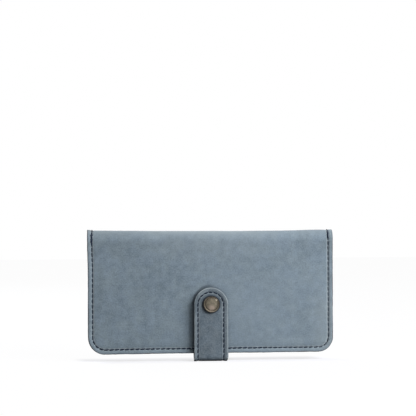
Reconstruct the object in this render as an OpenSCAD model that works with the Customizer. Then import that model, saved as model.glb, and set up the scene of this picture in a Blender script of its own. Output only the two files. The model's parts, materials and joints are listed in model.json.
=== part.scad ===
// A long leather wallet, folded over at the top and held shut by a snap tab.
// It stands on its tab: X runs along the fold, -Y is the front, and Z is up from the floor.

/* [Wallet] */
// Width along the fold
wallet_w = 191.5; // [170:0.5:210]
// Height of a cover, from its lower edge to the top of the fold
cover_h = 94.5; // [88:0.5:110]
// Depth of the closed wallet, from cover face to cover face
wallet_t = 16; // [16:0.5:22]
// Radius of the covers' lower corners
corner_r = 11.5; // [6:0.5:16]
// Thickness of the cover leather
leather_t = 1.4; // [1:0.1:1.6]
// Thickness of the lining
lining_t = 0.8; // [0.5:0.1:1]
// How far the inner layers stand back from the cover's edge
layer_inset = 0.6; // [0.2:0.1:1.5]

/* [Seams] */
// Distance from the edge to the stitch line
seam_margin = 3.6; // [2.5:0.1:5]
// Distance from one stitch to the next
stitch_pitch = 4; // [3.3:0.1:5]
// Visible length of one stitch
stitch_l = 3; // [2:0.1:3.2]
// Width of the sewing thread
thread_w = 0.8; // [0.5:0.05:1]

/* [Tab] */
// Width of the tab
tab_w = 26; // [20:0.5:32]
// Height of the tab's round end above the floor
tab_top = 57.5; // [48:0.5:66]
// Thickness of the tab's outer leather
tab_outer_t = 1.4; // [1:0.1:1.8]
// Thickness of the tab's inner leather
tab_inner_t = 1.2; // [0.8:0.1:1.6]
// Outer radius of the two bends under the wallet, which also sets how high the covers hang
tab_bend_r = 4; // [3.8:0.1:6]
// Height of the sewn end on the back cover above the floor
anchor_top = 42; // [30:0.5:60]
// Corner radius of that sewn end
anchor_r = 3; // [1:0.5:6]
// Distance from the tab's edge to its stitch line
tab_margin = 3; // [2.5:0.1:4]

/* [Snap] */
// Diameter of the cap
cap_d = 12.5; // [10:0.5:15]
// Height of the cap above the leather
cap_h = 2; // [1.4:0.1:3]
// Radius of the cap's rolled rim
cap_rim_r = 0.5; // [0.4:0.1:1]
// Depth of the groove where the domed crown meets the rim
cap_dish = 0.5; // [0.2:0.05:0.8]
// Diameter of the barrels that go through the leather
barrel_d = 3.6; // [3:0.1:4]
// Diameter of the socket
socket_d = 10; // [9:0.5:12]
// Height of the socket, which holds the tab off the cover
socket_h = 1.6; // [1.5:0.1:2.4]
// Thickness of the socket's lip, in front of its ring spring
socket_lip = 0.2; // [0.15:0.05:0.3]
// Wire diameter of the ring spring in the socket
spring_wire = 0.5; // [0.45:0.05:0.6]
// How far the ring spring reaches in under the stud's head
spring_bite = 0.2; // [0.1:0.05:0.2]
// Diameter of the stud's head
stud_d = 4.8; // [4:0.1:5.2]
// Height of the stud's head
stud_head_h = 0.5; // [0.3:0.05:0.6]
// Diameter of the stud's base and of the eyelet's flange
stud_base_d = 9; // [8:0.5:10]
// Thickness of the stud's base
stud_base_t = 0.5; // [0.3:0.05:0.8]
// Wall of the eyelet's tube
eyelet_wall = 0.6; // [0.4:0.05:0.9]

/* [Pockets] */
// Thickness of the banknote pocket's leather
bill_t = 1; // [0.6:0.1:1.2]
// Thickness of the slip pocket's leather behind the card slots
slip_t = 0.8; // [0.6:0.1:1]
// Thickness of a card slot's leather
slot_t = 0.8; // [0.6:0.1:0.9]
// Height of the first card slot's mouth below the top of the fold
slot_drop = 24; // [20:0.5:28]
// Step from one card slot's mouth to the next
slot_step = 11; // [8:0.5:12]
// Space between the two columns of card slots
slot_column_gap = 1; // [0.5:0.1:3]
// Thickness of the coin pocket's back wall
coin_back_t = 0.6; // [0.5:0.1:0.8]
// Thickness of the coin pocket's front wall
coin_front_t = 0.9; // [0.7:0.1:1]
// Depth of the coin pocket inside
coin_gap = 2.4; // [2.3:0.1:3]
// Width of the coin pocket's sewn frame
coin_frame_w = 6; // [4:0.5:8]

/* [Zip] */
// Length of the zip's row of teeth
zip_l = 150; // [110:1:156]
// Height of the zip's middle below the top of the fold
zip_drop = 21; // [18:0.5:24]
// Height of the window in the coin pocket's front wall
zip_window = 9; // [8.6:0.1:11]
// Width of one side of the tape
tape_w = 7; // [5:0.5:8]
// Thickness of the tape
tape_t = 0.5; // [0.4:0.05:0.6]
// Width of the bead along the tape's edge
bead_w = 0.8; // [0.5:0.05:1]
// Thickness of that bead
bead_t = 1; // [0.8:0.05:1.2]
// How far the tape runs on past the last tooth
tape_end = 7; // [5:0.5:9]
// Length of the stops at the ends of the teeth
stop_l = 2.5; // [1.5:0.1:4]
// Distance from one tooth to the next
tooth_pitch = 2.5; // [2:0.1:3]
// Width of a tooth along the zip
tooth_w = 1.3; // [0.9:0.1:1.5]
// Thickness of a tooth through the zip
tooth_t = 1.6; // [1.2:0.1:1.6]
// Reach of a tooth from the tape's bead to the middle
tooth_reach = 1.6; // [1.2:0.1:1.8]
// Length of the slider
slider_l = 11; // [9:0.5:13]
// Width of the slider across the zip
slider_w = 8; // [7.6:0.1:8.2]
// Thickness of each of the slider's plates
slider_plate_t = 0.6; // [0.5:0.05:0.7]
// Length of the pull
pull_l = 20; // [14:0.5:22]
// Width of the pull
pull_w = 5; // [4:0.25:6]
// Thickness of the pull
pull_t = 0.9; // [0.6:0.1:1]
// Diameter of the post that the pull turns on
post_d = 1.6; // [1.2:0.1:2]

/* [Hidden] */
$fn = 64;

// Clearances
hinge_gap = 0.1; // between the leather on the two sides of a bend line
fit_gap = 0.1; // between metal pieces that are set into or onto something
run_gap = 0.2; // round what slides, turns or snaps in
end_gap = 0.3; // before the end of the stud
bend_gap = 2; // from the top of the tab's bends to the covers' lower edges
overrun = 1; // of a cutting solid past what it cuts

// The bend lines lie at half of each quarter turn
bend_turn = 45;
tab_t = tab_outer_t + tab_inner_t;
cover_low = tab_bend_r + bend_gap;
tab_gap = stud_base_t + socket_h + fit_gap;
fold_r = wallet_t / 2;
fold_top = cover_low + cover_h;
fold_z = fold_top - fold_r;

// The origin is at the middle of the whole depth, from the snap cap to the thread on the sewn end
thread_h = thread_w / 2;
reach_front = wallet_t / 2 + tab_gap + tab_t + cap_h;
reach_back = wallet_t / 2 + tab_t + thread_h;
mid_y = (reach_front - reach_back) / 2;

// Distances from the wallet's middle plane to the outer side of each layer
lining_out = wallet_t / 2 - leather_t;
pocket_out = lining_out - lining_t;
coin_back_out = pocket_out - bill_t;
coin_gap_out = coin_back_out - coin_back_t;
coin_front_out = coin_gap_out - coin_gap;
slot_out = pocket_out - slip_t;

// Heights of the pockets, which end just under the fold
pocket_clear = 1;
pocket_top = fold_z - pocket_clear;
pocket_w = wallet_w - 2 * layer_inset;
pocket_low = cover_low + layer_inset;
pocket_r = corner_r - layer_inset;
slip_clear = 3.5; // from the pockets' top to the slip pocket's mouth
slip_top = pocket_top - slip_clear;
slot_top = fold_top - slot_drop;

// Tab
tab_front = -wallet_t / 2 - tab_gap - tab_t;
tab_back = wallet_t / 2 + tab_t;
bend_clear = 1.5; // from a bend to the first stitch

// Snap: its socket and stud hold on to each other by the ring spring
snap_z = tab_top - tab_w / 2;
spring_in_r = stud_d / 2 - spring_bite;
neck_d = 2 * (spring_in_r - run_gap);
mouth_d = stud_d + 2 * run_gap;
groove_d = stud_d + 2 * (spring_wire + fit_gap);
groove_h = spring_wire + fit_gap;
stud_h = socket_h + fit_gap - end_gap;

// Zip: its slider runs between the stops, and its web passes between the two rows of teeth
zip_z = fold_top - zip_drop;
zip_y = coin_front_out + tape_t / 2;
slider_web = 0.3;
teeth_gap = slider_web + run_gap;
tooth_n = floor(zip_l / tooth_pitch);
tape_in = teeth_gap / 2 + tooth_reach + bead_w / 2;
channel_t = tooth_t + 2 * run_gap;
channel_w = 2 * tape_in + 2 * run_gap;
slider_lip = (channel_t - tape_t) / 2 - run_gap;
slider_out = channel_t / 2 + slider_plate_t;
slider_x = (zip_l - slider_l) / 2 - run_gap;
stop_t = channel_t + slider_plate_t;
window_l = zip_l + 2 * (stop_l + run_gap);
post_head_t = 0.4;
post_head_d = post_d + 1;

// Sets its children on the back half, or mirrors them onto the front half
module half(side) {
    translate([0, mid_y, 0])
        mirror([0, side < 0 ? 1 : 0, 0])
            children();
}

// Extrudes a side view, drawn in Y and Z, along X
module along_x(w) {
    rotate([90, 0, 90])
        linear_extrude(w, center = true)
            children();
}

// Extrudes a front view, drawn in X and Z, from its outer side towards the middle plane
module plate(outer, t) {
    translate([0, outer, 0])
        rotate([90, 0, 0])
            linear_extrude(t)
                children();
}

// Front view of a panel with round lower corners
module panel_view(w, low, high, r) {
    translate([-w / 2 + r, low])
        square([w - 2 * r, high - low]);
    translate([-w / 2, low + r])
        square([w, high - low - r]);
    for (side = [-1, 1])
        translate([side * (w / 2 - r), low + r])
            circle(r);
}

// Part of a ring about the origin between two angles, at most a quarter turn apart
module ring_part(outer_r, t, from, to) {
    reach = 2 * outer_r;
    intersection() {
        difference() {
            circle(outer_r);
            circle(outer_r - t);
        }
        polygon([[0, 0], reach * [cos(from), sin(from)], reach * [cos(to), sin(to)]]);
    }
}

// Narrow slit along a radius, which parts the leather at a bend line
module bend_slit(r, angle) {
    rotate(angle)
        translate([0, -hinge_gap / 2])
            square([2 * r, hinge_gap]);
}

// Side view of a cover or its lining, up to the bend line in the fold
module cover_side(outer, t, low) {
    translate([outer - t, low])
        square([t, fold_z - low]);
    translate([0, fold_z])
        difference() {
            ring_part(outer, t, 0, bend_turn);
            bend_slit(outer, bend_turn);
        }
}

module cover_solid(side, outer, t, w, low, r) {
    half(side)
        intersection() {
            along_x(w)
                cover_side(outer, t, low);
            plate(outer + overrun, outer + overrun)
                panel_view(w, low, fold_top + overrun, r);
        }
}

// Side view of the fold between the two bend lines
module spine_solid(outer, t, w) {
    translate([0, mid_y, fold_z])
        along_x(w)
            difference() {
                ring_part(outer, t, bend_turn, 180 - bend_turn);
                bend_slit(outer, bend_turn);
                bend_slit(outer, 180 - bend_turn);
            }
}

// A round hole through a layer, at the snap
module snap_hole(outer, t, d) {
    translate([0, outer + overrun, snap_z])
        rotate([90, 0, 0])
            cylinder(h = t + 2 * overrun, d = d);
}

// Section of a thread that lies on leather, which is on the side of -X
module thread_section() {
    intersection() {
        circle(d = thread_w);
        translate([0, -thread_w / 2])
            square([thread_h, thread_w]);
    }
}

// One stitch lying on the plane y = 0, bulging towards +Y, with its length along X
module stitch() {
    along_x(stitch_l)
        thread_section();
}

// A straight row of stitches from one point to another of a front view
module stitch_line(from, to) {
    run = to - from;
    n = floor(norm(run) / stitch_pitch);
    for (i = [0 : n - 1])
        translate(at_view(from + run * (i + 0.5) / n))
            rotate([0, -atan2(run[1], run[0]), 0])
                stitch();
}

// A row of stitches on an arc of a front view
module stitch_arc(centre, r, from, to) {
    n = max(1, round(r * abs(to - from) * PI / 180 / stitch_pitch));
    for (i = [0 : n - 1]) {
        a = from + (to - from) * (i + 0.5) / n;
        translate(at_view(centre + r * [cos(a), sin(a)]))
            rotate([0, -(a + 90), 0])
                stitch();
    }
}

// Stitches over the fold at both ends, between two angles about its middle
module fold_stitches(from, to) {
    r = wallet_t / 2;
    turn = stitch_l / r * 180 / PI;
    n = floor(r * (to - from) * PI / 180 / stitch_pitch);
    for (s = [-1, 1], i = [0 : n - 1])
        translate([s * (wallet_w / 2 - seam_margin), 0, fold_z])
            rotate([90, 0, 90])
                rotate(from + (to - from) * (i + 0.5) / n - turn / 2)
                    rotate_extrude(angle = turn)
                        translate([r, 0])
                            thread_section();
}

function at_view(p) = [p[0], 0, p[1]];

module back_cover() {
    color([0.42, 0.48, 0.53])
        cover_solid(1, wallet_t / 2, leather_t, wallet_w, cover_low, corner_r);
}

module front_cover() {
    color([0.42, 0.48, 0.53])
        difference() {
            cover_solid(-1, wallet_t / 2, leather_t, wallet_w, cover_low, corner_r);
            half(-1)
                snap_hole(wallet_t / 2, leather_t, barrel_d + fit_gap);
        }
}

module back_lining() {
    color([0.33, 0.38, 0.43])
        cover_solid(1, lining_out, lining_t, pocket_w, pocket_low, pocket_r);
}

module front_lining() {
    color([0.33, 0.38, 0.43])
        difference() {
            cover_solid(-1, lining_out, lining_t, pocket_w, pocket_low, pocket_r);
            half(-1)
                snap_hole(lining_out, lining_t, stud_base_d + fit_gap);
        }
}

module spine_fold() {
    color([0.46, 0.52, 0.57])
        spine_solid(wallet_t / 2, leather_t, wallet_w);
}

module spine_lining() {
    color([0.33, 0.38, 0.43])
        spine_solid(lining_out, lining_t, pocket_w);
}

// Perimeter seam of a cover: down one side, round the lower corners and up the other.
// Along the lower edge it stops for the tab's sewn end, if there is one on that cover.
module cover_thread(side) {
    r = corner_r - seam_margin;
    x = wallet_w / 2 - seam_margin;
    low = cover_low + seam_margin;
    inner = side > 0 ? tab_w / 2 + thread_w : 0;
    color([0.1, 0.12, 0.18])
        half(side) {
            fold_stitches(0, bend_turn);
            translate([0, wallet_t / 2, 0])
                for (s = [-1, 1]) {
                    stitch_line([s * x, low + r], [s * x, fold_z]);
                    stitch_arc([s * (x - r), low + r], r, s > 0 ? 0 : 180, s > 0 ? -90 : 270);
                    stitch_line([s * inner, low], [s * (x - r), low]);
                }
        }
}

module spine_thread() {
    color([0.1, 0.12, 0.18])
        half(1)
            fold_stitches(bend_turn, 180 - bend_turn);
}

module bill_pocket() {
    color([0.38, 0.44, 0.49])
        half(1)
            plate(pocket_out, bill_t)
                panel_view(pocket_w, pocket_low, pocket_top, pocket_r);
}

module coin_back() {
    color([0.33, 0.38, 0.43])
        half(1)
            plate(coin_back_out, coin_back_t)
                panel_view(pocket_w, pocket_low, pocket_top, pocket_r);
}

// Room inside the coin pocket, as a front view, which ends just above the zip's tape
module coin_room() {
    low = pocket_low + coin_frame_w;
    translate([-pocket_w / 2 + coin_frame_w, low])
        square([pocket_w - 2 * coin_frame_w, zip_z + tape_in + tape_w + fit_gap - low]);
}

// Way through the frame's sides for the zip's stops and slider, where the zip is that long
module zip_passage() {
    translate([-window_l / 2, zip_z - slider_w / 2 - run_gap])
        square([window_l, slider_w + 2 * run_gap]);
}

// Folded strip that joins the coin pocket's two walls at their edges, let in for the zip
module coin_gusset() {
    color([0.33, 0.38, 0.43])
        half(1)
            difference() {
                plate(coin_gap_out, coin_gap)
                    difference() {
                        panel_view(pocket_w, pocket_low, pocket_top, pocket_r);
                        coin_room();
                        zip_passage();
                    }
                plate(zip_y + tape_t / 2 + fit_gap, tape_t + fit_gap + overrun)
                    for (side = [-1, 1])
                        tape_view(side, fit_gap);
            }
}

module coin_front() {
    color([0.42, 0.48, 0.53])
        half(1)
            plate(coin_front_out, coin_front_t)
                difference() {
                    panel_view(pocket_w, pocket_low, pocket_top, pocket_r);
                    translate([-window_l / 2, zip_z - zip_window / 2])
                        square([window_l, zip_window]);
                }
}

// Front view of one side of the tape, which is never longer than the pocket
module tape_view(side, end_clear) {
    intersection() {
        translate([-zip_l / 2 - tape_end - end_clear, zip_z + (side > 0 ? tape_in : -tape_in - tape_w)])
            square([zip_l + 2 * (tape_end + end_clear), tape_w]);
        panel_view(pocket_w, pocket_low, pocket_top, pocket_r);
    }
}

module zip_tape(side) {
    color([0.12, 0.14, 0.2])
        half(1)
            plate(zip_y + tape_t / 2, tape_t)
                tape_view(side, 0);
}

// One row of teeth on its bead, offset by half a pitch from the other row
module zip_teeth(side) {
    color([0.45, 0.4, 0.32])
        half(1)
            mirror([0, 0, side > 0 ? 0 : 1])
                translate([0, zip_y, side * zip_z]) {
                    translate([-zip_l / 2, -bead_t / 2, tape_in - bead_w])
                        cube([zip_l, bead_t, bead_w]);
                    for (i = [0 : tooth_n - 2])
                        translate([(i + 0.75 - tooth_n / 2 + side / 4) * tooth_pitch, 0, teeth_gap / 2])
                            translate([-tooth_w / 2, -tooth_t / 2, 0])
                                cube([tooth_w, tooth_t, tooth_reach]);
                }
}

// Stops past the teeth, too thick for the slider: one across both sides, and two single ones
module zip_stops() {
    color([0.45, 0.4, 0.32])
        half(1)
            translate([0, zip_y, zip_z]) {
                translate([-zip_l / 2 - stop_l, -stop_t / 2, -tape_in])
                    cube([stop_l, stop_t, 2 * tape_in]);
                for (s = [-1, 1])
                    translate([zip_l / 2, -stop_t / 2, s > 0 ? teeth_gap / 2 : -tape_in])
                        cube([stop_l, stop_t, tape_in - teeth_gap / 2]);
            }
}

module zip_slider() {
    color([0.5, 0.44, 0.35])
        half(1)
            translate([slider_x, zip_y, zip_z]) {
                for (s = [-1, 1]) {
                    translate([0, s * (channel_t + slider_plate_t) / 2, 0])
                        cube([slider_l, slider_plate_t, slider_w], center = true);
                    for (side = [-1, 1])
                        translate([0, s * (channel_t - slider_lip) / 2, side * (slider_w + channel_w) / 4])
                            cube([slider_l, slider_lip, (slider_w - channel_w) / 2], center = true);
                }
                cube([slider_l / 4, channel_t, slider_web], center = true);
                translate([0, -slider_out, 0])
                    rotate([90, 0, 0]) {
                        cylinder(h = pull_t + 2 * run_gap + post_head_t, d = post_d);
                        translate([0, 0, pull_t + 2 * run_gap])
                            cylinder(h = post_head_t, d = post_head_d);
                    }
            }
}

// The pull hangs from the slider's post and turns on it
module zip_pull() {
    color([0.5, 0.44, 0.35])
        half(1)
            translate([slider_x, 0, zip_z])
                plate(zip_y - slider_out - run_gap, pull_t)
                    difference() {
                        union() {
                            circle(d = pull_w);
                            translate([-pull_w / 2, pull_w / 2 - pull_l])
                                square([pull_w, pull_l - pull_w / 2]);
                            translate([0, pull_w / 2 - pull_l])
                                circle(d = pull_w);
                        }
                        circle(d = post_d + 2 * fit_gap);
                    }
}

module slip_pocket() {
    color([0.38, 0.44, 0.49])
        half(-1)
            plate(pocket_out, slip_t)
                panel_view(pocket_w, pocket_low, slip_top, pocket_r);
}

// A card slot: the first lies on the slip pocket, and each next one lies on the last
module card_slot(side, tier) {
    color([0.42, 0.48, 0.53])
        half(-1)
            plate(slot_out - (tier - 1) * slot_t, slot_t)
                intersection() {
                    panel_view(pocket_w, pocket_low, slot_top - (tier - 1) * slot_step, pocket_r);
                    translate([side > 0 ? slot_column_gap / 2 : -pocket_w, 0])
                        square([pocket_w - slot_column_gap / 2, fold_top]);
                }
}

// Side view of one layer of the whole tab: up the front, under the wallet and up the back
module tab_round(inset) {
    r = tab_bend_r - inset;
    front = tab_front + inset;
    back = tab_back - inset;
    translate([front + r, inset])
        square([back - front - 2 * r, tab_top]);
    translate([front, tab_bend_r])
        square([back - front, tab_top]);
    for (y = [front + r, back - r])
        translate([y, tab_bend_r])
            circle(r);
}

module tab_layer_side(inset, t) {
    difference() {
        tab_round(inset);
        tab_round(inset + t);
    }
}

// Region of the side view on one side of both bend lines: "front", "under" or "back"
module tab_region(part) {
    reach = tab_top + tab_bend_r;
    front = tab_front + tab_bend_r;
    back = tab_back - tab_bend_r;
    slit = hinge_gap / 2 / cos(bend_turn);
    if (part == "under")
        polygon([
            [front + slit, tab_bend_r], [front + slit - reach, tab_bend_r - reach],
            [back - slit + reach, tab_bend_r - reach], [back - slit, tab_bend_r]
        ]);
    if (part == "front")
        polygon([
            [front - slit, tab_bend_r], [front - slit, tab_bend_r + reach],
            [front - slit - reach, tab_bend_r + reach], [front - slit - reach, tab_bend_r - reach]
        ]);
    if (part == "back")
        polygon([
            [back + slit, tab_bend_r], [back + slit, tab_bend_r + reach],
            [back + slit + reach, tab_bend_r + reach], [back + slit + reach, tab_bend_r - reach]
        ]);
}

// Front view of the tab's front part, with its round end, or of its sewn end
module tab_view(part) {
    if (part == "front") {
        translate([-tab_w / 2, 0])
            square([tab_w, snap_z]);
        translate([0, snap_z])
            circle(d = tab_w);
    }
    if (part == "back")
        mirror([0, 1])
            panel_view(tab_w, -anchor_top, 0, anchor_r);
    if (part == "under")
        translate([-tab_w / 2, 0])
            square([tab_w, tab_top]);
}

module tab_solid(part, inset, t) {
    translate([0, mid_y, 0])
        intersection() {
            along_x(tab_w)
                intersection() {
                    tab_layer_side(inset, t);
                    tab_region(part);
                }
            plate(tab_back + overrun, tab_back - tab_front + 2 * overrun)
                tab_view(part);
        }
}

module tab_anchor_outer() {
    color([0.38, 0.44, 0.49])
        tab_solid("back", 0, tab_outer_t);
}

module tab_anchor_lining() {
    color([0.33, 0.38, 0.43])
        tab_solid("back", tab_outer_t, tab_inner_t);
}

module tab_under_outer() {
    color([0.38, 0.44, 0.49])
        tab_solid("under", 0, tab_outer_t);
}

module tab_under_lining() {
    color([0.33, 0.38, 0.43])
        tab_solid("under", tab_outer_t, tab_inner_t);
}

module tab_flap_hole() {
    half(-1)
        snap_hole(-tab_front, tab_t, barrel_d + fit_gap);
}

module tab_flap_outer() {
    color([0.38, 0.44, 0.49])
        difference() {
            tab_solid("front", 0, tab_outer_t);
            tab_flap_hole();
        }
}

module tab_flap_lining() {
    color([0.33, 0.38, 0.43])
        difference() {
            tab_solid("front", tab_outer_t, tab_inner_t);
            tab_flap_hole();
        }
}

// Seam round the tab's front part: up one side, round the end and down the other
module tab_flap_thread() {
    x = tab_w / 2 - tab_margin;
    low = tab_bend_r + bend_clear;
    color([0.1, 0.12, 0.18])
        half(-1)
            translate([0, -tab_front, 0]) {
                for (s = [-1, 1])
                    stitch_line([s * x, low], [s * x, snap_z]);
                stitch_arc([0, snap_z], x, 0, 180);
            }
}

// Seam that holds the sewn end to the back cover
module tab_anchor_thread() {
    x = tab_w / 2 - tab_margin;
    low = tab_bend_r + bend_clear;
    high = anchor_top - tab_margin;
    color([0.1, 0.12, 0.18])
        half(1)
            translate([0, tab_back, 0]) {
                for (s = [-1, 1])
                    stitch_line([s * x, low], [s * x, high]);
                stitch_line([-x, high], [x, high]);
                stitch_line([-x, cover_low + seam_margin], [x, cover_low + seam_margin]);
            }
}

// The seam's rows run on under the tab, on the side that faces the covers
module tab_under_thread() {
    x = tab_w / 2 - tab_margin;
    run = tab_back - tab_front - 2 * tab_bend_r;
    n = floor(run / stitch_pitch);
    color([0.1, 0.12, 0.18])
        translate([0, mid_y + tab_front + tab_bend_r, tab_t])
            for (s = [-1, 1], i = [0 : n - 1])
                translate([s * x, run * (i + 0.5) / n, 0])
                    rotate([90, 0, 90])
                        stitch();
}

// Cap with a rolled rim and a domed crown, on the barrel that holds the socket
module snap_cap() {
    r = cap_d / 2;
    crown_r = r - 2 * cap_rim_r;
    dome_r = (crown_r * crown_r + cap_dish * cap_dish) / (2 * cap_dish);
    color([0.42, 0.38, 0.33])
        half(-1)
            translate([0, -tab_front, snap_z])
                rotate([-90, 0, 0]) {
                    rotate_extrude() {
                        square([r, cap_h - cap_rim_r]);
                        translate([r - cap_rim_r, cap_h - cap_rim_r])
                            circle(cap_rim_r);
                        intersection() {
                            translate([0, cap_h - dome_r])
                                circle(dome_r);
                            square([crown_r, cap_h]);
                        }
                    }
                    translate([0, 0, -tab_t])
                        cylinder(h = tab_t, d = barrel_d);
                }
}

// Socket with a groove that holds the ring spring
module snap_socket() {
    color([0.42, 0.38, 0.33])
        half(-1)
            translate([0, -tab_front - tab_t, snap_z])
                rotate([90, 0, 0])
                    difference() {
                        cylinder(h = socket_h, d = socket_d);
                        translate([0, 0, -overrun])
                            cylinder(h = socket_h + 2 * overrun, d = mouth_d);
                        translate([0, 0, socket_h - socket_lip - groove_h])
                            cylinder(h = groove_h, d = groove_d);
                    }
}

module snap_spring() {
    color([0.5, 0.46, 0.4])
        half(-1)
            translate([0, -tab_front - tab_t - socket_h + socket_lip + groove_h / 2, snap_z])
                rotate([90, 0, 0])
                    rotate_extrude()
                        translate([spring_in_r + spring_wire / 2, 0])
                            circle(d = spring_wire);
}

// Stud on the front cover: a base, a neck and a wider head
module snap_stud() {
    color([0.42, 0.38, 0.33])
        half(-1)
            translate([0, wallet_t / 2, snap_z])
                rotate([-90, 0, 0]) {
                    cylinder(h = stud_base_t, d = stud_base_d);
                    cylinder(h = stud_base_t + stud_h, d = neck_d);
                    translate([0, 0, stud_base_t + stud_h - stud_head_h])
                        cylinder(h = stud_head_h, d = stud_d);
                }
}

// Eyelet that holds the stud: a tube through the cover, and a flange sunk in the lining
module snap_eyelet() {
    color([0.42, 0.38, 0.33])
        half(-1)
            translate([0, wallet_t / 2, snap_z])
                rotate([90, 0, 0])
                    difference() {
                        union() {
                            cylinder(h = leather_t, d = barrel_d);
                            translate([0, 0, leather_t])
                                cylinder(h = lining_t, d = stud_base_d);
                        }
                        translate([0, 0, -overrun])
                            cylinder(h = leather_t + lining_t + 2 * overrun, d = barrel_d - 2 * eyelet_wall);
                    }
}

back_cover();
back_lining();
bill_pocket();
coin_back();
coin_gusset();
coin_front();
zip_tape(-1);  // zip_tape_lower
zip_tape(1);  // zip_tape_upper
zip_teeth(-1);  // zip_teeth_lower
zip_teeth(1);  // zip_teeth_upper
zip_stops();
zip_slider();
zip_pull();
tab_anchor_outer();
tab_anchor_lining();
cover_thread(1);  // back_cover_thread
tab_anchor_thread();
spine_fold();
spine_lining();
spine_thread();
front_cover();
front_lining();
slip_pocket();
card_slot(-1, 1);  // card_slot_left_1
card_slot(-1, 2);  // card_slot_left_2
card_slot(-1, 3);  // card_slot_left_3
card_slot(-1, 4);  // card_slot_left_4
card_slot(1, 1);  // card_slot_right_1
card_slot(1, 2);  // card_slot_right_2
card_slot(1, 3);  // card_slot_right_3
card_slot(1, 4);  // card_slot_right_4
snap_stud();
snap_eyelet();
cover_thread(-1);  // front_cover_thread
tab_under_outer();
tab_under_lining();
tab_under_thread();
tab_flap_outer();
tab_flap_lining();
tab_flap_thread();
snap_cap();
snap_socket();
snap_spring();
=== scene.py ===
import bisect
import json
import math
import bpy
import bmesh
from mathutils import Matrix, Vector, noise


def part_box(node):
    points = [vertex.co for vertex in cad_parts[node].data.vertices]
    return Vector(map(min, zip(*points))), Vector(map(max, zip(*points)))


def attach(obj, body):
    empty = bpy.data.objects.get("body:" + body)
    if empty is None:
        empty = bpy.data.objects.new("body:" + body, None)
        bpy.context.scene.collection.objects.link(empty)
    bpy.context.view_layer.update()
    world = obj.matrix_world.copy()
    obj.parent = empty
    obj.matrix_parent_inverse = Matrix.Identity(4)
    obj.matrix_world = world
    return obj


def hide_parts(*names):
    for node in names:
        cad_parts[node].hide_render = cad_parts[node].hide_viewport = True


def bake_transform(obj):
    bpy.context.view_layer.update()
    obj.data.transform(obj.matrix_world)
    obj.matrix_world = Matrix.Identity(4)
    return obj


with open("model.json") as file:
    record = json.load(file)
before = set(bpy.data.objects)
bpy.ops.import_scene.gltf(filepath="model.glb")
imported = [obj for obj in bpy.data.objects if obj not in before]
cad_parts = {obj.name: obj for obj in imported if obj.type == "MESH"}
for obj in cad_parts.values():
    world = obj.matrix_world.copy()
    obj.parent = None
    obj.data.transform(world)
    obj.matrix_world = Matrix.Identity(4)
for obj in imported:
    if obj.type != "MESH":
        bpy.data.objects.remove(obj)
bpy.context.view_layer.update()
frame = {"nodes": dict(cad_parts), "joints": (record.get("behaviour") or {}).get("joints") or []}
print("frame loaded with", len(frame["nodes"]), "nodes")

# All lengths are metres. The wallet stands on its tab: X runs along the fold, -Y is the front.
mm = 0.001
quarter = math.pi / 2
clearance = 0.02 * mm  # kept free between pieces that lie on each other


def low(node):
    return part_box(node)[0]


def high(node):
    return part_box(node)[1]


# Sizes of the folded covers, read from the frame
frontFace = low("front_cover").y
backFace = high("back_cover").y
foldRadius = (backFace - frontFace) / 2
foldTop = high("spine_fold").z
foldZ = foldTop - foldRadius
coverBottom = low("front_cover").z
coverHalf = high("front_cover").x
coverLeather = foldTop - high("spine_lining").z
liningHalf = high("front_lining").x
liningInner = low("slip_pocket").y - frontFace

# Sizes of the tab, read from the frame
heelJoint = next(joint for joint in frame["joints"] if joint["name"] == "tab_heel")
tabFront = low("tab_flap_outer").y
tabBack = high("tab_anchor_outer").y
tabHalf = high("tab_flap_outer").x
tabTip = high("tab_flap_outer").z
tabBend = heelJoint["pos_m"][2] / (1 - math.cos(quarter / 2))
tabLeather = low("tab_under_lining").z - low("tab_under_outer").z
tabThickness = low("tab_under_thread").z
anchorTop = high("tab_anchor_outer").z
snapZ = (low("snap_cap").z + high("snap_cap").z) / 2

# Camera: level, a little to the left of the wallet's middle
cameraView = {
    "distance": 0.99, "height": 0.1191, "aside": -0.0021, "yaw": 4.2, "roll": 0.24, "across": 0.3244
}


def setCamera(view):
    yaw = math.radians(view["yaw"])
    camera = bpy.data.objects.new("camera", bpy.data.cameras.new("camera"))
    bpy.context.scene.collection.objects.link(camera)
    target = Vector((view["aside"], frontFace, view["height"]))
    camera.location = target - view["distance"] * Vector((math.sin(yaw), math.cos(yaw), 0))
    camera.rotation_euler = (quarter, math.radians(view["roll"]), -yaw)
    camera.data.sensor_width = 36
    camera.data.lens = 36 * view["distance"] / view["across"]
    camera.data.clip_start = 0.01
    bpy.context.scene.camera = camera


setCamera(cameraView)


class Wire:
    # A node's output, so that shader maths reads as plain sums
    def __init__(self, nodes, socket):
        self.nodes = nodes
        self.socket = socket

    def maths(self, operation, *values):
        return self.nodes.add("ShaderNodeMath", {"operation": operation}, dict(enumerate(values)))

    def __add__(self, other):
        return self.maths("ADD", self, other)

    __radd__ = __add__

    def __sub__(self, other):
        return self.maths("SUBTRACT", self, other)

    def __rsub__(self, other):
        return self.maths("SUBTRACT", other, self)

    def __mul__(self, other):
        return self.maths("MULTIPLY", self, other)

    __rmul__ = __mul__

    def __truediv__(self, other):
        return self.maths("DIVIDE", self, other)

    def between(self, start, end):
        # 0 up to start, 1 from end, and smooth in between
        settings = {"interpolation_type": "SMOOTHSTEP"}
        return self.nodes.add("ShaderNodeMapRange", settings, {0: self, 1: start, 2: end})

    def band(self, start, full, fade, end):
        # 1 from full to fade, and 0 before start and after end
        return self.between(start, full) * (1 - self.between(fade, end))


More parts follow.
